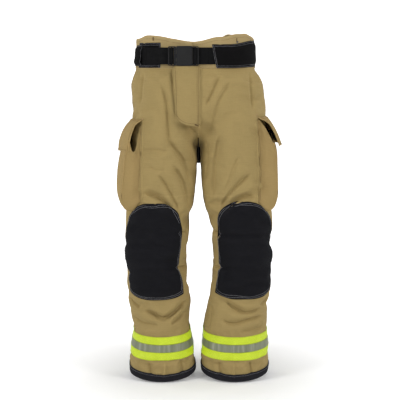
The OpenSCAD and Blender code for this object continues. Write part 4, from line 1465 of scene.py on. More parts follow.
OFFB = 5.4
ring_path = []
s_a, s_b = s_at_front(46), s_at_front(-150)
for s_ in np.arange(s_a, s_b + (ARC[-1] if s_b < s_a else 0), 5.0):
    p, n = ring_pt(t_at(s_), 978, OFFB)
    ring_path.append(p[:2])
loop = [(26, surf_y(26, 2.0 + OFFB)), (6, -119.6), (-3, -118.6), (-5.5, -119.2), (-6.4, -123.8), (-7.4, -128.4), (-9.3, -129.9), (-13.2, -129.9), (-15.0, -128.4), (-15.9, -123.8), (-15.2, -118.0), (-10, -116.4), (4, -116.6), (34, surf_y(34, 3.6))]
tail = smooth_path(loop[::-1], 60)
head = smooth_path(loop[:1] + [(46, surf_y(46, OFFB))][:1], 8)
main = np.array([loop[0]] + [tuple(q) for q in ring_path])
main = smooth_path(main, 230)
front_wrap = smooth_path(loop, 70)
belt_a, _, _ = strap("belt_webbing_run", main)
belt_b, _, _ = strap("belt_webbing_socket_loop", front_wrap[::-1] if False else front_wrap)
for o in (belt_a, belt_b):
    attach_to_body(o, "trousers")
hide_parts("belt_webbing")
tg = [(-158, surf_y(-158, OFFB)), (-146, surf_y(-146, OFFB)), (-132, surf_y(-132, OFFB) - 0.6), (-116, surf_y(-116, OFFB) - 3.6), (-102, -118.2), (-92, -118.4), (-88, -118.4), (-85.8, -119.2), (-85.2, -123.8), (-84.4, -128.8),
      (-82.6, -130.3), (-79.4, -130.3), (-77.6, -128.8), (-76.8, -123.8), (-77.4, -118.0), (-82, -116.2), (-96, -115.6), (-112, -111.0), (-128, surf_y(-128, 3.4))]
tongue, _, _ = strap("belt_webbing_tongue", smooth_path(tg, 110)[::-1])
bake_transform(tongue)
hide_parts("belt_tongue")
# box stitching where the webbing is folded back: the stitches are laid out, but no mesh is built from them
for x0, x1, key in ((-118, -100, "tongue"), (8, 26, "run")):
    st = Stitches()
    for z_ in (BZ - 21, BZ + 21):
        xs = np.linspace(x0, x1, 6)
        ys = [(-118.4 if x < -95 else (surf_y(x, OFFB + 2.2) if x > 20 else -119.4)) - 0.3 for x in xs]
        if x0 < -50:
            ys = [np.interp(x, [-118, -102, -92], [surf_y(-118, OFFB) - 3.4, -118.2, -118.4]) - 0.3 for x in xs]
        st.line([(x, y, z_) for x, y in zip(xs, ys)], [(0, -1, 0)] * 6, 3.4)


# sleeves and patches on the band
def sleeve(name, xa, xb, top_fn, bot_fn, hump, mat, slant=0.0, levels=1, flare=0.0):
    sa, sb = s_at_front(xa) if not isinstance(xa, tuple) else xa[0], s_at_front(xb) if not isinstance(xb, tuple) else xb[0]
    if sb < sa:
        sb += ARC[-1]
    vs = np.r_[0, 0.04, 0.1, 0.16, np.linspace(0.22, 0.78, 9), 0.84, 0.9, 0.96, 1]
    nu = max(14, int((sb - sa) / 4))
    P_, N_ = np.zeros((nu, len(vs), 3)), np.zeros((nu, len(vs), 3))
    for i in range(nu):
        sh = i / (nu - 1)
        for j, v in enumerate(vs):
            s_ = sa + (sb - sa) * sh + slant * (1 - v) * (1 - sh)
            t_ = t_at(s_)
            p0, _ = ring_pt(t_, 978, 0)
            z = bot_fn(sh) + (top_fn(sh) - bot_fn(sh)) * v
            h_ = sstep(v, 0.05, 0.22) * sstep(1 - v, 0.05, 0.22)
            rk = 0.5 * value_noise(np.array([[s_, z, 3.0]]), (22, 17, 10), 21)[0]
            o = 3.6 + hump * h_ + rk * (0.5 + h_) + flare * math.exp(-((v - 0.10) / 0.22) ** 2)
            p, n = ring_pt(t_, z, o)
            P_[i, j], N_[i, j] = p, n
    ob = cloth_sheet(name, P_, N_, 1.5, mat, sb - sa, 76, levels=levels)
    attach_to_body(ob, "trousers")
    return ob, P_, N_


tun, TP, TN = sleeve("belt_sleeve_left", 38, (s_at_front(60) + 180,), lambda sh: 1013 + 13 * sstep(sh, 0.25, 0.75), lambda sh: 941.5 + 5 * sstep(sh, 0.2, 0.9), 4.9, "black_waist", slant=12)
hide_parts("belt_tunnel_left")
pat, PP, PN = sleeve("belt_patch_right_cloth", (s_at_front(-112) - 84,), -113, lambda sh: 1018, lambda sh: 942.5, 0.0, "black_waist")
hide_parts("belt_patch_right")
kee, KP, KN = sleeve("belt_keeper_right_cloth", (s_at_front(-112) - 104,), (s_at_front(-112) - 66,), lambda sh: 1011, lambda sh: 948, 6.2, "black_waist", flare=4.5)
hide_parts("belt_keeper_right")
gst = Stitches()
for (A, B, js, ends) in ((TP, TN, (1, 2, -3, -2), (0, 1)), (PP, PN, (1, 2, -3, -2), (-1, -2)), (KP, KN, (1, -2), (0, -1))):
    for j in js:
        gst.line(A[:, j] + B[:, j] * 0.05, B[:, j], 3.6, 1.1, 0.15, 0.42)
    for i in ends:
        gst.line(A[i] + B[i] * 0.05 + [0, 0, 0], B[i], 3.6, 1.1, 0.15, 0.42)
gs = gst.build("waist_patch_stitching", "grey_thread")
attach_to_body(gs, "trousers")
# loops at the back
first = True
for x in (-105, -10, 85):
    s_c = s_at_front(x)
    p_c = [i for i in range(720) if _q[i, 1] > FY]
    k = min(p_c, key=lambda i: abs(_q[i, 0] - x))
    o, _, _ = ring_sheet(f"belt_loop_back_{abs(x)}", ARC[k] - 14, ARC[k] + 14, 10,
                         lambda sh, s_, p: [(944 + 68 * v, 3.4 + 5.6 * float(sstep(v, 0.03, 0.2) * sstep(1 - v, 0.03, 0.2)) + (0.5 if 0.1 < sh < 0.9 else 0)) for v in np.linspace(0, 1, 14)], 1.6, "tan", levels=1)
    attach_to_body(o, "trousers")
    if first:
        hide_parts("belt_loop_back")
        first = False


# bar tacks: short dense rows of thread
def bar_tack(name, p0, p1, n, key, w=1.6, mat="tan_thread"):
    p0, p1, n = np.array(p0, float), np.array(p1, float), np.array(n, float)
    d = (p1 - p0) / np.linalg.norm(p1 - p0)
    s = np.cross(n, d)
    st = Stitches()
    L = np.linalg.norm(p1 - p0)
    for q in np.arange(0, L, 0.75):
        c = p0 + d * q
        st.add(c - s * w + n * 0.5, c + s * w + n * 0.5, n, 0.42)
    ob = st.build(name, mat)
    attach(ob, key)
    return ob


for i, (x, z) in enumerate(((-135, 1024), (111, 1021))):
    s_ = s_at_front(x)
    t_ = t_at(s_)
    a, n = ring_pt(t_, z, 4.2)
    b_, _ = ring_pt(t_, z + 10, 4.2)
    bar_tack(f"band_tack_{i}", a, b_, n, "trousers", 1.9)


# ------------------------------------------------------------------ fly
def fly_front(x, z):
    p, n = front(x, z)
    # the fly hangs straight over the hollow at the fork
    b = np.interp(z, [745, 765, 783, 820], [120, 128, 130, 132])
    if z < 820:
        p[1] = min(p[1], FY + 5 - b * (1 - abs((x + 2) / 200) ** 2.4) ** (1 / 2.4))
    return p


zs = np.r_[np.linspace(950, 800, 16), np.linspace(795, 770, 7)]
FX = [(950, -75.5), (948, -75.5), (893, -72), (820, -70), (806, -69.5), (797, -67), (788, -62), (781, -53), (776, -43), (772, -30), (770, -20)]
FX = sorted(FX)


def fly_edge(z):
    return np.interp(z, [q[0] for q in FX], [q[1] for q in FX])


nu, nv = 19, 26
P_ = np.zeros((nu, nv, 3))
for j in range(nv):
    v = j / (nv - 1)
    for i in range(nu):
        u = i / (nu - 1)          # 0 at the stitched edge, 1 at the free edge
        zt, zb = 949, np.interp(u, [0, 0.3, 0.55, 0.72, 0.84, 0.93, 1.0], [769, 771, 774, 779, 785, 793, 803])
        z = zt + (zb - zt) * v
        x = 3 + (fly_edge(max(z, 803)) - 3) * u
        p = fly_front(x, z)
        lift = 4.6 + 7.4 * math.sin(math.pi * min(1, u * 0.92)) ** 0.8 + 3.6 * u ** 2
        lift += 1.2 * math.exp(-((u - 1) / 0.16) ** 2) * sstep(z, 880, 945) * 2
        P_[i, j] = (x, p[1] - lift - 0.5 * value_noise(np.array([[x * 1.0, z * 1.0, 0]]), (30, 45, 10), 31)[0], z)
N_ = grid_normals(P_)
if N_[nu // 2, nv // 2, 1] > 0:
    N_ = -N_
fly = cloth_sheet("fly_flap_cloth", P_, N_, 2.0, "tan", 75, 180)
fix_normals(fly)
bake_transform(fly)
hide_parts("fly_flap", "fly_placket")
BENDS["fly"] = ("trousers", "fly_flap", (0.004, -0.13, 0.86), (-0.012, -0.13, 0.86))
for off in (2, 17):
    i = 1 if off == 2 else None
    col = P_[1] if off == 2 else P_[nu - 2]
    cn = N_[1] if off == 2 else N_[nu - 2]
    ST["fly"].line(col, cn, 3.8, 0.9, 0.15, 0.6)
ST["fly"].line(P_[:, nv - 2], N_[:, nv - 2], 3.8, 0.9, 0.15, 0.6)
ST["fly"].line(P_[3] if False else P_[2], N_[2], 3.8, 1.1, 0.15)
# placket fold, bar tack at its foot, hook tape and the shield behind the zip
P2, N2 = path_on_front([(5, 946), (5, 860), (4, 775)], 8, lift=1.6)
pl = welt("fly_placket_fold", P2, N2, 5, 0.5, "tan")
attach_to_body(pl, "trousers")
pf = P_[3, nv - 3]
bar_tack("fly_tack", (-12, P_[4, nv - 3][1] - 0.3, 776), (0, P_[1, nv - 3][1] - 0.3, 771), (0, -1, 0), "trousers", 2.0)
# the hook tape runs just inside the fly's free edge, where its black shows as the dark line along that edge: a real
# part, placed to give painted shadow under the edge
HP = np.zeros((6, 14, 3))
for i in range(6):
    for j in range(14):
        z = 926 - 104 * j / 13
        x = fly_edge(z) + 0.8 + 14.0 * i / 5
        HP[i, j] = (x, front(x, z)[0][1] - 3.6, z)
HN = np.zeros_like(HP)
HN[..., 1] = -1
hook = cloth_sheet("fly_hook_tape_strip", HP, HN, 1.4, "black", 16, 128, levels=0)
fix_normals(hook)
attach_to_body(hook, "fly_flap")
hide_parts("fly_hook_tape")
SP = np.zeros((12, 14, 3))
for i in range(12):
    for j in range(14):
        x, z = -68 + 64 * i / 11, 936 - 146 * j / 13
        SP[i, j] = (x, front(x, z)[0][1] + 7.0, z)
SN_ = np.zeros_like(SP)
SN_[..., 1] = -1
shield = cloth_sheet("fly_shield_cloth", SP, SN_, 1.8, "tan", 64, 146)
fix_normals(shield)
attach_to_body(shield, "trousers")
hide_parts("fly_shield")

# ------------------------------------------------------------------ knee patches
def on_leg_mm(side, psi, z):
    p, n = on_leg(side, psi, z)
    return p * 1000, n


def s_to_psi(side, s_mm, z):
    """polar angle on a leg for an arc length measured from the knee's own centre line, positive outwards"""
    cx, a, cy, b = leg_section(side, z)
    r = (a + b) / 2
    turn = math.radians(9)
    th = turn + s_mm / r                      # positive outwards from straight ahead
    return -math.pi / 2 + side * th


KN = {  # per side: top height, bottom height, heights of the notches on the inner edge and of the cross folds
    1: dict(top=545, low=249, b_in=266, b_out=278, notch=(442, 342), onotch=(442,), fold=(442,), out=(470,), step=0),
    -1: dict(top=540, low=247, b_in=262, b_out=268, notch=(448, 341), onotch=(), fold=(), out=(449,), step=10),
}


def knee_grid(side, inset, o_edge, o_mid, nu=34, nv=44, z_lo=None, z_hi=None):
    k = KN[side]
    P_, N_ = np.zeros((nu, nv, 3)), np.zeros((nu, nv, 3))
    S = 93 - inset
    for i in range(nu):
        u = -1 + 2 * i / (nu - 1)
        su = math.copysign(abs(u) ** 0.92, u)
        zt = 452 + (k["top"] - inset - 452) * (1 - abs(u) ** 2.25) ** 0.5 if abs(u) < 1 else 452
        zt = max(zt, 452 - 8 * abs(u))
        zb = k["low"] + inset + ((k["b_out"] if u > 0 else k["b_in"]) - k["low"]) * abs(u) ** 2.6
        if z_lo:
            zb, zt = max(zb, z_lo), min(zt, z_hi)
        for j in range(nv):
            v = j / (nv - 1)
            z = zb + (zt - zb) * v
            s = su * S
            for zn in k["notch"]:
                s += 7.5 * math.exp(-((z - zn) / 6.0) ** 2) * max(0, -u) ** 6      # inner edge is at u = -1
            for zn in k["out"]:
                s += 3.5 * math.exp(-((z - zn) / 14.0) ** 2) * max(0, u) ** 6
            for zn in k["onotch"]:
                s -= 9.0 * math.exp(-((z - zn) / 6.5) ** 2) * max(0, u) ** 5
            s -= k["step"] * float(sstep(338 - z, 0, 7)) * max(0.0, u) ** 3
            psi = s_to_psi(side, s, z)
            p, n = on_leg_mm(side, psi, z)
            edge = (1 - abs(u) ** 6) * (1 - abs(2 * v - 1) ** 9)
            puff = 1 - (1 - edge) ** 2
            off = o_edge + (o_mid - o_edge) * puff
            q = np.array([[s, z, 10.0 * side]])
            off += puff * (1.7 * value_noise(q, (40, 22, 10), 41)[0] + 0.9 * value_noise(q, (22, 10, 10), 42)[0])
            # soft creases running in from the notches, and a shallow cross fold where the knee bends
            for zn in k["notch"]:
                off -= 4.2 * math.exp(-((z - zn) / 4.5) ** 2) * sstep(-u, -0.15, 0.95)
                off += 1.0 * math.exp(-((z - zn - 10) / 8) ** 2) * sstep(-u, 0.0, 0.9)
            for zn in k["fold"]:
                off -= 5.0 * math.exp(-((z - zn - 4 * u) / 4.5) ** 2)
                off += 1.0 * math.exp(-((z - zn - 14) / 9) ** 2)
            off -= 1.5 * math.exp(-((z - 405 - 8 * u) / 9) ** 2) * sstep(1 - abs(u), 0.05, 0.5)
            P_[i, j] = p + n * off
            N_[i, j] = n
    return P_, N_


for name, s in SIDES:
    P_, N_ = knee_grid(s, 0, 2.0, 8.2)
    flip = s == 1
    G2 = grid_normals(P_)
    if (G2 * N_).sum() < 0:
        G2 = -G2
        flip_s = True
    else:
        flip_s = False
    ob = cloth_sheet(f"knee_patch_cloth_{name}", P_, N_, 1.7, "black", 186, 285, flip=flip_s)
    fix_normals(ob)
    attach(ob, f"leg_{name}")
    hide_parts(f"knee_patch_upper_{name}", f"knee_patch_lower_{name}")
    # the points round the patch's turned-under edge, for an edge cord that is not built
    ring = [P_[i, 0] for i in range(P_.shape[0])] + [P_[-1, j] for j in range(P_.shape[1])] + [P_[i, -1] for i in range(P_.shape[0])][::-1] + [P_[0, j] for j in range(P_.shape[1])][::-1]
    rn = [N_[i, 0] for i in range(P_.shape[0])] + [N_[-1, j] for j in range(P_.shape[1])] + [N_[i, -1] for i in range(P_.shape[0])][::-1] + [N_[0, j] for j in range(P_.shape[1])][::-1]
    st = Stitches()
    for ins in (5.5, 10.5):
        A, B = knee_grid(s, ins, 2.0, 8.2, 34, 44)
        # the height of the patch itself at those places
        tree = BVHTree.FromPolygons([tuple(x) for x in P_.reshape(-1, 3)], grid_faces(P_.shape[0], P_.shape[1]))
        path = [A[i, 0] for i in range(34)] + [A[-1, j] for j in range(44)] + [A[i, -1] for i in range(34)][::-1] + [A[0, j] for j in range(44)][::-1]
        pn = [B[i, 0] for i in range(34)] + [B[-1, j] for j in range(44)] + [B[i, -1] for i in range(34)][::-1] + [B[0, j] for j in range(44)][::-1]
        Q, QN = [], []
        for a, n in zip(path, pn):
            loc, nor, _, _ = tree.ray_cast(Vector(a + n * 14), Vector(-n), 30)
            if loc is not None:
                Q.append(np.array(loc) + n * 0.25)
                QN.append(n)
        st.line(Q, QN, 3.8, 1.1, 0.12, 0.58)
    so = st.build(f"knee_patch_stitching_{name}", "grey_thread")
    attach(so, f"leg_{name}")
    A, B = knee_grid(s, 16, 0.8, 4.6, 20, 22, 368, 456)
    pad = cloth_sheet(f"knee_pad_foam_{name}", A, B, 0.5, "knit_pad", 150, 88, flip=flip_s, levels=0)
    fix_normals(pad)
    attach(pad, f"leg_{name}")
    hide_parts(f"knee_pad_{name}")

# ------------------------------------------------------------------ reflective trim and hem binding
TILT = math.tan(math.radians(9.1))
NPSI = 150


def band_grid(side, z0, z1, off, nv):
    P_, N_ = np.zeros((NPSI, nv, 3)), np.zeros((NPSI, nv, 3))
    for i in range(NPSI):
        psi = 2 * math.pi * i / NPSI
        cx, a, cy, b = leg_section(side, 110)
        y = b * math.sin(psi)
        for j in range(nv):
            z = z0 + (z1 - z0) * j / (nv - 1) + y * TILT
            p, n = on_leg_mm(side, psi, z)
            P_[i, j] = p + n * off
            N_[i, j] = n
    # keeps the tape from following every small wrinkle: smooth along the ring
    for _ in range(2):
        P_ = 0.5 * P_ + 0.25 * (np.roll(P_, 1, 0) + np.roll(P_, -1, 0))
    return P_, N_


def hem_pt(side, psi, dz, off):
    cx, a, cy, b = leg_section(side, 25)
    y = cy + b * math.sin(psi)
    zh = hem_z(y)
    p, n = on_leg_mm(side, psi, zh + max(dz, 2.5))
    if dz < 2.5:
        p[2] = zh + dz
    return p + n * off, n


for name, s in SIDES:
    st = Stitches()
    lz = []
    for kk, (z0, z1, off, mat, nm) in enumerate(((78, 101.5, 1.9, "lime", "trim_lime_lower"), (101.5, 125, 2.3, "silver", "trim_silver_band"), (125, 148.5, 1.9, "lime", "trim_lime_upper"))):
        P_, N_ = band_grid(s, z0, z1, off, 7)
        G2 = grid_normals(P_, True)
        flip_s = (G2 * N_).sum() < 0
        ob = cloth_sheet(f"{nm}_{name}", P_, N_, 0.9, mat, 600, z1 - z0, close_u=True, flip=flip_s, levels=1)
        fix_normals(ob)
        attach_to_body(ob, f"shin_{name}")
        if kk == 0:
            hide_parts(f"trim_lime_{name}")
        elif kk == 1:
            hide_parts(f"trim_silver_{name}")
        cl = lambda A, j: np.concatenate([A[:, j], A[:1, j]])
        if kk == 0:
            st.line(cl(P_, 0) + cl(N_, 0) * 0.2 + [0, 0, 1.6], cl(N_, 0), 3.4, 1.0)
        if kk == 2:
            st.line(cl(P_, -1) + cl(N_, -1) * 0.2 - [0, 0, 1.6], cl(N_, -1), 3.4, 1.0)
        if kk == 1:
            st.line(cl(P_, 0) + cl(N_, 0) * 0.2 + [0, 0, 0.8], cl(N_, 0), 3.4, 1.0)
            st.line(cl(P_, -1) + cl(N_, -1) * 0.2 - [0, 0, 0.8], cl(N_, -1), 3.4, 1.0)
    M["lime_thread"] = M.get("lime_thread") or cloth_material("lime_thread", lin(190, 205, 70), pitch=0.0006, twill=False, uv=False, wear=0)
    so = st.build(f"trim_stitching_{name}", "lime_thread")
    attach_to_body(so, f"shin_{name}")
    # binding tape folded over the hem
    prof = [(22.5, 0.9), (22.6, 2.3), (20, 2.9), (14, 3.1), (7, 3.3), (2.5, 3.4), (0.2, 2.7), (-1.0, 0.9), (-1.2, -1.6), (-0.6, -4.6), (1.5, -6.6), (5, -7.4), (12, -7.4), (20, -7.4), (22, -6.6), (21.6, -6.0), (12, -6.3), (4, -6.2), (1.6, -4.0), (1.4, -0.6), (4, 0.6), (12, 0.8)]
    nb = len(prof)
    V = np.zeros((NPSI, nb, 3))
    NV = np.zeros((NPSI, 3))
    for i in range(NPSI):
        psi = 2 * math.pi * i / NPSI
        wob = 0.5 * value_noise(np.array([[psi * 95, 5.0 * s, 0]]), (24, 10, 10), 51)[0]
        for j, (dz, off) in enumerate(prof):
            p, n = hem_pt(s, psi, dz + (0.8 * wob if dz > 18 else 0), off + (wob if 1 < dz < 20 else 0))
            V[i, j] = p
        NV[i] = n
    for _ in range(2):
        V = 0.5 * V + 0.25 * (np.roll(V, 1, 0) + np.roll(V, -1, 0))
    V[..., 2] = np.maximum(V[..., 2], 0.4)
    ob = new_mesh(f"hem_binding_tape_{name}", V.reshape(-1, 3) / 1000, grid_faces(NPSI, nb, True, True))
    fix_normals(ob)
    me = ob.data
    lay = me.uv_layers.new(name="UVMap")
    idx = np.empty(len(me.loops), np.int64)
    me.loops.foreach_get("vertex_index", idx)
    lay.data.foreach_set("uv", np.stack([(idx // nb) / NPSI * 0.6, (idx % nb) / nb * 0.06], 1).astype(np.float32).ravel())
    subsurf(ob, 1)
    smooth_all(ob)
    paint(ob, "binding")
    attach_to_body(ob, f"shin_{name}")
    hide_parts(f"hem_binding_{name}")
    st = Stitches()
    for j, lift in ((3, 0.3),):
        A = np.concatenate([V[:, j], V[:1, j]])
        B = np.concatenate([NV, NV[:1]])
        st.line(A + B * lift + [0, 0, 3.5], B, 3.4, 1.0, 0.1, 0.42)
    so = st.build(f"hem_stitching_{name}", "grey_thread")
    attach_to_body(so, f"shin_{name}")

# ------------------------------------------------------------------ cargo pockets
PK = {
    -1: dict(z=[513, 519, 530, 545, 560, 590, 634, 681, 705, 745, 800], fold=[-206, -221, -228, -232, -233, -229, -225, -220, -215, -205, -196], sil=[-214, -231, -240, -247, -250.5, -252.5, -251, -242, -236, -222, -204],
             zb=513, seam=[(-172, 790), (-175, 700), (-177, 600), (-176, 515)]),
    1: dict(z=[513, 519, 530, 545, 560, 590, 634, 681, 705, 745, 800], fold=[207, 218, 226, 232, 235, 235, 232, 230, 228, 212, 196], sil=[212, 222, 233, 240, 241.5, 241.5, 240.5, 238.5, 236, 220, 203],
            zb=512, seam=[(174, 790), (179, 730), (183, 620), (180, 520)]),
}


def cr(pts, u):
    """Catmull-Rom through points with chord parameter 0..1"""
    pts = np.array(pts, float)
    n = len(pts) - 1
    x = min(max(u, 0), 1) * n
    i = min(int(x), n - 1)
    t = x - i
    p0, p1, p2, p3 = pts[max(i - 1, 0)], pts[i], pts[i + 1], pts[min(i + 2, n)]
    return 0.5 * ((2 * p1) + (-p0 + p2) * t + (2 * p0 - 5 * p1 + 4 * p2 - p3) * t * t + (-p0 + 3 * p1 - 3 * p2 + p3) * t ** 3)


def pocket_plan(side, z, tight=0.0):
    k = PK[side]
    f = np.interp(z, k["z"], k["fold"])
    o = np.interp(z, k["z"], k["sil"])
    sm = k["seam"]
    xa = np.interp(z, [q[1] for q in sm][::-1], [q[0] for q in sm][::-1])
    pa, na = front(xa, z)
    A = pa[:2] + na[:2] * 0.8
    ph, nh = front(side * 184, z, back=True)
    H = (ph[:2] + nh[:2] * 0.8) if ph is not None else np.array([side * 184, 92.0])
    fb = o - (o - f) * 0.6
    mid1 = (A * 0.55 + np.array([f, -72]) * 0.45) + [0, -1.0]
    mid0 = (A * 0.86 + np.array([f, -72]) * 0.14) + [0, 2.2]
    mid2 = (H * 0.5 + np.array([fb, 92]) * 0.5) + [0, 2.0]
    pts = [A, mid0, mid1, A * 0.12 + np.array([f, -73]) * 0.88, [f + side * 0.6, -72.5], [f + side * 2.2, -69.5],
           [f + (o - f) * 0.55, -52], [f + (o - f) * 0.9, -28], [o, 2], [o, 36], [o - (o - f) * 0.12, 66], [fb + side * 0.8, 87], [fb, 91], [fb - side * 3, 93], mid2, H]
    return pts, A, H


for name, s in SIDES:
    k = PK[s]
    NUp = 76
    zlist = [k["zb"] + q for q in (0, 0, 0.8, 2.5, 5.5, 10, 17, 26, 38, 52, 68, 86, 106, 128, 150, 172, 194, 214, 232, 246, 258, 268, 275)]
    nvp = len(zlist)
    P_ = np.zeros((NUp, nvp, 3))
    if s == -1:
        top_u = [(0, 786), (0.03, 765), (0.075, 738), (0.12, 692), (0.15, 690), (0.19, 720), (0.27, 728), (0.34, 733), (0.5, 742), (0.72, 745), (0.8, 756), (0.9, 772), (1, 784)]
    else:
        top_u = [(0, 790), (0.08, 788), (0.13, 782), (0.17, 768), (0.22, 742), (0.27, 716), (0.34, 722), (0.5, 742), (0.72, 745), (0.8, 756), (0.9, 772), (1, 784)]
    for i in range(NUp):
        u = i / (NUp - 1)
        zt = np.interp(u, [q[0] for q in top_u], [q[1] for q in top_u])
        for j in range(nvp):
            v = j / (nvp - 1)
            zq = zlist[j]
            z = zq if zq < 600 else 600 + (zq - 600) / (zlist[-1] - 600) * (zt - 600)
            pts, A, H = pocket_plan(s, z)
            xy = cr(pts, u)
            core = np.array([np.interp(u, [0, 0.5, 1], [A[0], s * 205, H[0]]), np.interp(u, [0, 0.25, 0.75, 1], [A[1], -60, 78, H[1]])])
            c = (0.93, 0.5, 0.24, 0.11, 0.045, 0.012)[j] if j < 6 else 0.0
            if j < 6:
                xy = xy * (1 - c) + core * c
            q = np.array([[u * 330, z, 7.0 * s]])
            ease = sstep(u, 0.02, 0.12) * sstep(1 - u, 0.02, 0.12) * sstep(z, 515, 545)
            w_ = (1.6 * value_noise(q, (60, 48, 10), 61)[0] + 0.7 * value_noise(q, (26, 22, 10), 62)[0]) * ease
            zr = z + 27 * (1 - sstep(u, 0.0, 0.25)) * max(0.0, 1 - (z - k['zb']) / 95)      # the bottom rises towards the front seam
            P_[i, j] = (xy[0] + s * w_, xy[1], zr)
    N_ = grid_normals(P_)
    c0 = np.array([s * 190, 10.0, 640])
    if ((P_ - c0) * N_).sum() < 0:
        N_ = -N_
        fl_ = True
    else:
        fl_ = False
    ob = cloth_sheet(f"pocket_body_cloth_{name}", P_, N_, 1.9, "tan_pocket", 330, 270, flip=fl_, levels=1)
    fix_normals(ob)
    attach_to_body(ob, f"thigh_{name}")
    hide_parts(f"pocket_body_{name}")
    # piped folds at the front and back edges, and the flange where the gusset is sewn to the leg
    for ui, nm, r in ((4 / 15, "front", 1.5), (12 / 15, "back", 1.5)):
        i = int(round(ui * (NUp - 1)))
        ed = [P_[i, j] + N_[i, j] * 0.2 for j in range(3, nvp)]
        tb = tube_along(f"pocket_edge_{nm}_{name}", ed, r, "tan")
        fix_normals(tb)
        paint(tb, "tan_thread" if False else "tan_pocket")
        uv_from(tb, lambda co: np.stack([co[:, 1], co[:, 2]], 1))
        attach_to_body(tb, f"thigh_{name}")
    st = Stitches()
    for i, o in ((int(4 / 15 * (NUp - 1)) + 2, 0.3), (int(12 / 15 * (NUp - 1)) - 2, 0.3), (2, 0.3)):
        st.line([P_[i, j] + N_[i, j] * o for j in range(5, nvp)], [N_[i, j] for j in range(5, nvp)], 3.6, 1.1)
    fl1, fn1 = [], []
    for z in np.arange(520, 788, 7):
        xa = np.interp(z, [q[1] for q in k["seam"]][::-1], [q[0] for q in k["seam"]][::-1])
        p, n = front(xa - s * 4.0, z)
        if p is not None:
            fl1.append(p + n * 0.4)
            fn1.append(n)
    ob = welt(f"pocket_flange_front_{name}", fl1, fn1, 8, 0.9, "tan")
    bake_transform(ob)
    st2 = Stitches()
    st2.line(np.array(fl1) + np.array(fn1) * 0.9, fn1, 3.6, 1.1)
    so = st.build(f"pocket_stitching_{name}", "tan_thread")
    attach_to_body(so, f"thigh_{name}")
    so = st2.build(f"pocket_flange_stitching_{name}", "tan_thread")
    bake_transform(so)

    # flap
    top_z = 788 if s == -1 else 796
    bot_z = 690 if s == -1 else 708
    if s == -1:
        DF = [(0, 0), (0.13, 22), (0.49, 35), (0.8, 41), (1, 44)]
        DM = [(0, 2), (0.10, 10), (0.2, 19), (0.42, 32), (0.68, 41), (1, 45)]
    else:
        DF = [(0, 0), (0.10, 24), (0.22, 38), (0.56, 55), (1, 70)]
        DM = [(0, 2), (0.10, 9), (0.2, 16), (0.44, 29), (0.77, 42), (1, 49)]
    tops = []
    nuf, nvf = 34, 20
    cx, a, cy, b = leg_section(s, top_z)
    ps_f, ps_b = front_psi(s, s * 170, top_z), -front_psi(s, s * 173, top_z)
    if s == -1:
        ps_f, ps_b = (ps_f if ps_f > 0 else ps_f + 2 * math.pi), (ps_b if ps_b > 0 else ps_b + 2 * math.pi)
    P_ = np.zeros((nuf, nvf, 3))
    for i in range(nuf):
        u = i / (nuf - 1)
        psi = ps_f + (ps_b - ps_f) * u
        pt, nt_ = None, None
        o_ = np.array([cx + 330 * math.cos(psi), cy + 330 * math.sin(psi), top_z]) / 1000
        d_ = (-math.cos(psi), -math.sin(psi), 0)
        pt, nt_ = ray(o_, d_, 0.4)
        pt = pt * 1000 + nt_ * 1.6
        yb = -77 + 176 * u
        for j in range(nvf):
            v = j / (nvf - 1)
            q_ = 1 - abs(2 * u - 1) ** 2.4
            dfr = np.interp(v, [c[0] for c in DF], [c[1] for c in DF])
            dmi = np.interp(v, [c[0] for c in DM], [c[1] for c in DM])
            D = dfr * (1 - q_) + dmi * q_
            if u > 0.5:
                D += (0 if s == -1 else -14) * (1 - q_) * v
            D *= 1 - 0.75 * float(sstep(2 * u - 1, 0.35, 1.0) * (1 - sstep(v, 0.5, 0.95)))
            y = pt[1] + (yb - pt[1]) * min(1, v ** 0.6)
            z = top_z + (bot_z - top_z) * v
            q = np.array([[u * 180, v * 100, 3.0 * s]])
            w_ = (1.4 * value_noise(q, (50, 34, 10), 71)[0] + 0.5 * value_noise(q, (20, 16, 10), 72)[0]) * sstep(v, 0.05, 0.3)
            P_[i, j] = (pt[0] + s * (D + w_), y, z + (1.5 * math.sin(u * 9) if v > 0.6 else 0) * (v - 0.6) * 2)
    for _ in range(1):
        P_[:, 1:-1] = 0.5 * P_[:, 1:-1] + 0.25 * (P_[:, :-2] + P_[:, 2:])
    N_ = grid_normals(P_)
    if (N_[:, :, 0] * s).sum() < 0:
        N_ = -N_
        fl_ = True
    else:
        fl_ = False
    flap = cloth_sheet(f"pocket_flap_cloth_{name}", P_, N_, 3.4, "tan_pocket", 180, 100, flip=fl_, levels=1)
    fix_normals(flap)
    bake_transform(flap)
    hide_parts(f"pocket_flap_{name}")
    st = Stitches()
    for ii in (1, nuf - 2):
        st.line(P_[ii] + N_[ii] * 0.2, N_[ii], 3.6, 1.1)
    st.line(P_[1:-1, nvf - 2] + N_[1:-1, nvf - 2] * 0.2, N_[1:-1, nvf - 2], 3.6, 1.1)
    st.line(P_[1:-1, 1] + N_[1:-1, 1] * 0.3, N_[1:-1, 1], 3.6, 1.1)
    so = st.build(f"pocket_flap_stitching_{name}", "tan_thread")
    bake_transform(so)
    for ii, key in ((0, "front"), (nuf - 1, "back")):
        p = P_[ii, 0] + N_[ii, 0] * 0.2
        d = np.array([0, 0, 1.0])
        sgn = -1 if key == "front" else 1
        bar_tack(f"flap_tack_{key}_{name}", p + [0, 0, -1], p + [s * -3, 0, 9], N_[ii, 1], "seat_" + name, 1.6, "tack_pink")
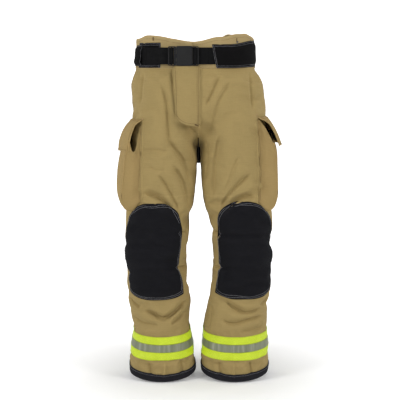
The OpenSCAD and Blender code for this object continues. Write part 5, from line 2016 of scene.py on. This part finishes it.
    # hook tapes inside the flap
    for hi, (u0, u1) in enumerate(((0.14, 0.42), (0.58, 0.86))):
        H_ = np.zeros((8, 6, 3))
        HN_ = np.zeros((8, 6, 3))
        for i in range(8):
            for j in range(6):
                uu, vv = u0 + (u1 - u0) * i / 7, 0.52 + 0.38 * j / 5
                a_, b_ = uu * (nuf - 1), vv * (nvf - 1)
                ia, ib = int(a_), int(b_)
                fa, fb_ = a_ - ia, b_ - ib
                w4 = [((1 - fa) * (1 - fb_), ia, ib), (fa * (1 - fb_), ia + 1, ib), ((1 - fa) * fb_, ia, ib + 1), (fa * fb_, ia + 1, ib + 1)]
                pp = sum(w * P_[x, y] for w, x, y in w4)
                nn = sum(w * N_[x, y] for w, x, y in w4)
                H_[i, j] = pp - nn * 3.5
                HN_[i, j] = nn
        hk = cloth_sheet(f"flap_hook_tape_{hi}_{name}", H_, HN_, 1.4, "black", 50, 40, levels=0)
        fix_normals(hk)
        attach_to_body(hk, f"pocket_flap_{name}")
        if hi == 0:
            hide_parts(f"pocket_hook_tape_{name}")

# ------------------------------------------------------------------ the stitches of each group
for key, st in ST.items():
    ob = st.build(f"stitching_{key}", "tan_thread")
    if ob is None:
        continue
    if key == "band":
        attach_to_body(ob, "trousers")
    else:
        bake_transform(ob)

# ------------------------------------------------------------------ hardware: the CAD's own solids, with edges broken and materials
HW = {"buckle_socket": ("buckle", 0.9), "buckle_insert": ("buckle", 0.8), "buckle_latch_upper": ("buckle", 0.4), "buckle_latch_lower": ("buckle", 0.4),
      "zip_slider": ("metal", 0.2), "zip_pull": ("metal", 0.2), "zip_teeth": ("brass", 0.15), "zip_tape": ("black_lining", 0.2), "waist_snap": ("metal", 0.3), "brace_buttons": ("dark_metal", 0.5)}
for n, (m, wdt) in HW.items():
    o = bpy.data.objects.get(n)
    if o is None:
        print("no node", n)
        continue
    o.data.materials.clear()
    o.data.materials.append(M[m])
    bv = o.modifiers.new("edge", "BEVEL")
    bv.width = wdt / 1000
    bv.segments = 2
    bv.limit_method = "ANGLE"
    bv.angle_limit = math.radians(35)
    if "material_slot" not in o:
        pass



# ------------------------------------------------------------------ stage, light, camera
def area(name, loc, aim, size, power, color=(1, 1, 1), size_y=None):
    d = bpy.data.lights.new(name, "AREA")
    d.shape = "RECTANGLE"
    d.size, d.size_y = size, size_y or size
    d.energy = power
    d.color = color
    o = bpy.data.objects.new(name, d)
    bpy.context.scene.collection.objects.link(o)
    o.location = loc
    o.rotation_euler = (Vector(aim) - Vector(loc)).to_track_quat("-Z", "Y").to_euler()
    return o


area("side_left", (-2.5, -1.9, 1.7), (0, 0, 0.55), 1.2, 43)
area("side_right", (2.5, -1.9, 1.7), (0, 0, 0.55), 1.2, 39)
area("front", (0.0, -3.9, 2.3), (0, 0, 0.5), 2.2, 21)
area("top", (0.1, -0.2, 3.0), (0, 0, 0.4), 1.6, 17)
area("rim_left", (-2.4, 1.2, 1.3), (0, 0, 0.55), 1.0, 12)
area("rim_right", (2.4, 1.2, 1.3), (0, 0, 0.55), 1.0, 12)
w = bpy.data.worlds.new("studio")
bpy.context.scene.world = w
w.use_nodes = True
wt = w.node_tree
wb = wt.nodes["Background"]
wb.inputs[0].default_value = (1, 1, 1, 1)
lp = wt.nodes.new("ShaderNodeLightPath")
mx = wt.nodes.new("ShaderNodeMix")
mx.inputs[2].default_value = 0.22      # what lights the scene
mx.inputs[3].default_value = 1.0       # what the camera sees behind the floor
wt.links.new(lp.outputs["Is Camera Ray"], mx.inputs[0])
wt.links.new(mx.outputs[0], wb.inputs[1])

prof = [(-8.0, 0.0), (3.0, 0.0), (4.2, 0.05), (5.4, 0.3), (6.4, 0.8), (7.2, 1.7), (7.6, 3.0), (7.8, 8.0)]
fl = new_mesh("floor", [(x, y, z) for y, z in prof for x in (-16, 16)], [(2 * i, 2 * i + 1, 2 * i + 3, 2 * i + 2) for i in range(len(prof) - 1)])
fm = bpy.data.materials.new("floor_paper")
nt, b = nodes_of(fm)
g = G(nt)
nt.links.new(g.ramp(g.noise(g.coord(False), 3, 3), [(0.3, (0.90, 0.90, 0.90)), (0.7, (0.93, 0.93, 0.93))]), b.inputs["Base Color"])
b.inputs["Roughness"].default_value = 0.9
# the paper fades to a lit white away from the object, to the camera's eye only
geo = nt.nodes.new("ShaderNodeNewGeometry")
ps = g.sep(geo.outputs["Position"])
rr = g.math("SQRT", g.math("ADD", g.math("MULTIPLY", ps[0], ps[0]), g.math("MULTIPLY", ps[1], ps[1])))
fade = g.math("MINIMUM", g.math("MAXIMUM", g.math("DIVIDE", g.math("SUBTRACT", rr, 0.22), 1.1), 0.0), 1.0)
lpf = nt.nodes.new("ShaderNodeLightPath")
b.inputs["Emission Color"].default_value = (1, 1, 1, 1)
nt.links.new(g.math("MULTIPLY", g.math("ADD", fade, 0.16), lpf.outputs["Is Camera Ray"]), b.inputs["Emission Strength"])
fl.data.materials.append(fm)
fl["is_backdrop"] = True
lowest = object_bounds()[0][2]
fl.location.z = min(0.0, lowest) - 0.0005

cam_d = bpy.data.cameras.new("cam")
cam = bpy.data.objects.new("cam", cam_d)
bpy.context.scene.collection.objects.link(cam)
cam.location = (0.003, -3.4, 0.95)
cam.rotation_euler = (math.radians(90), 0, 0)
cam_d.lens = 100
cam_d.sensor_width = 36
cam_d.shift_y = -0.3365
cam_d.clip_end = 60
bpy.context.scene.camera = cam
bpy.context.scene.view_settings.view_transform = "Standard"
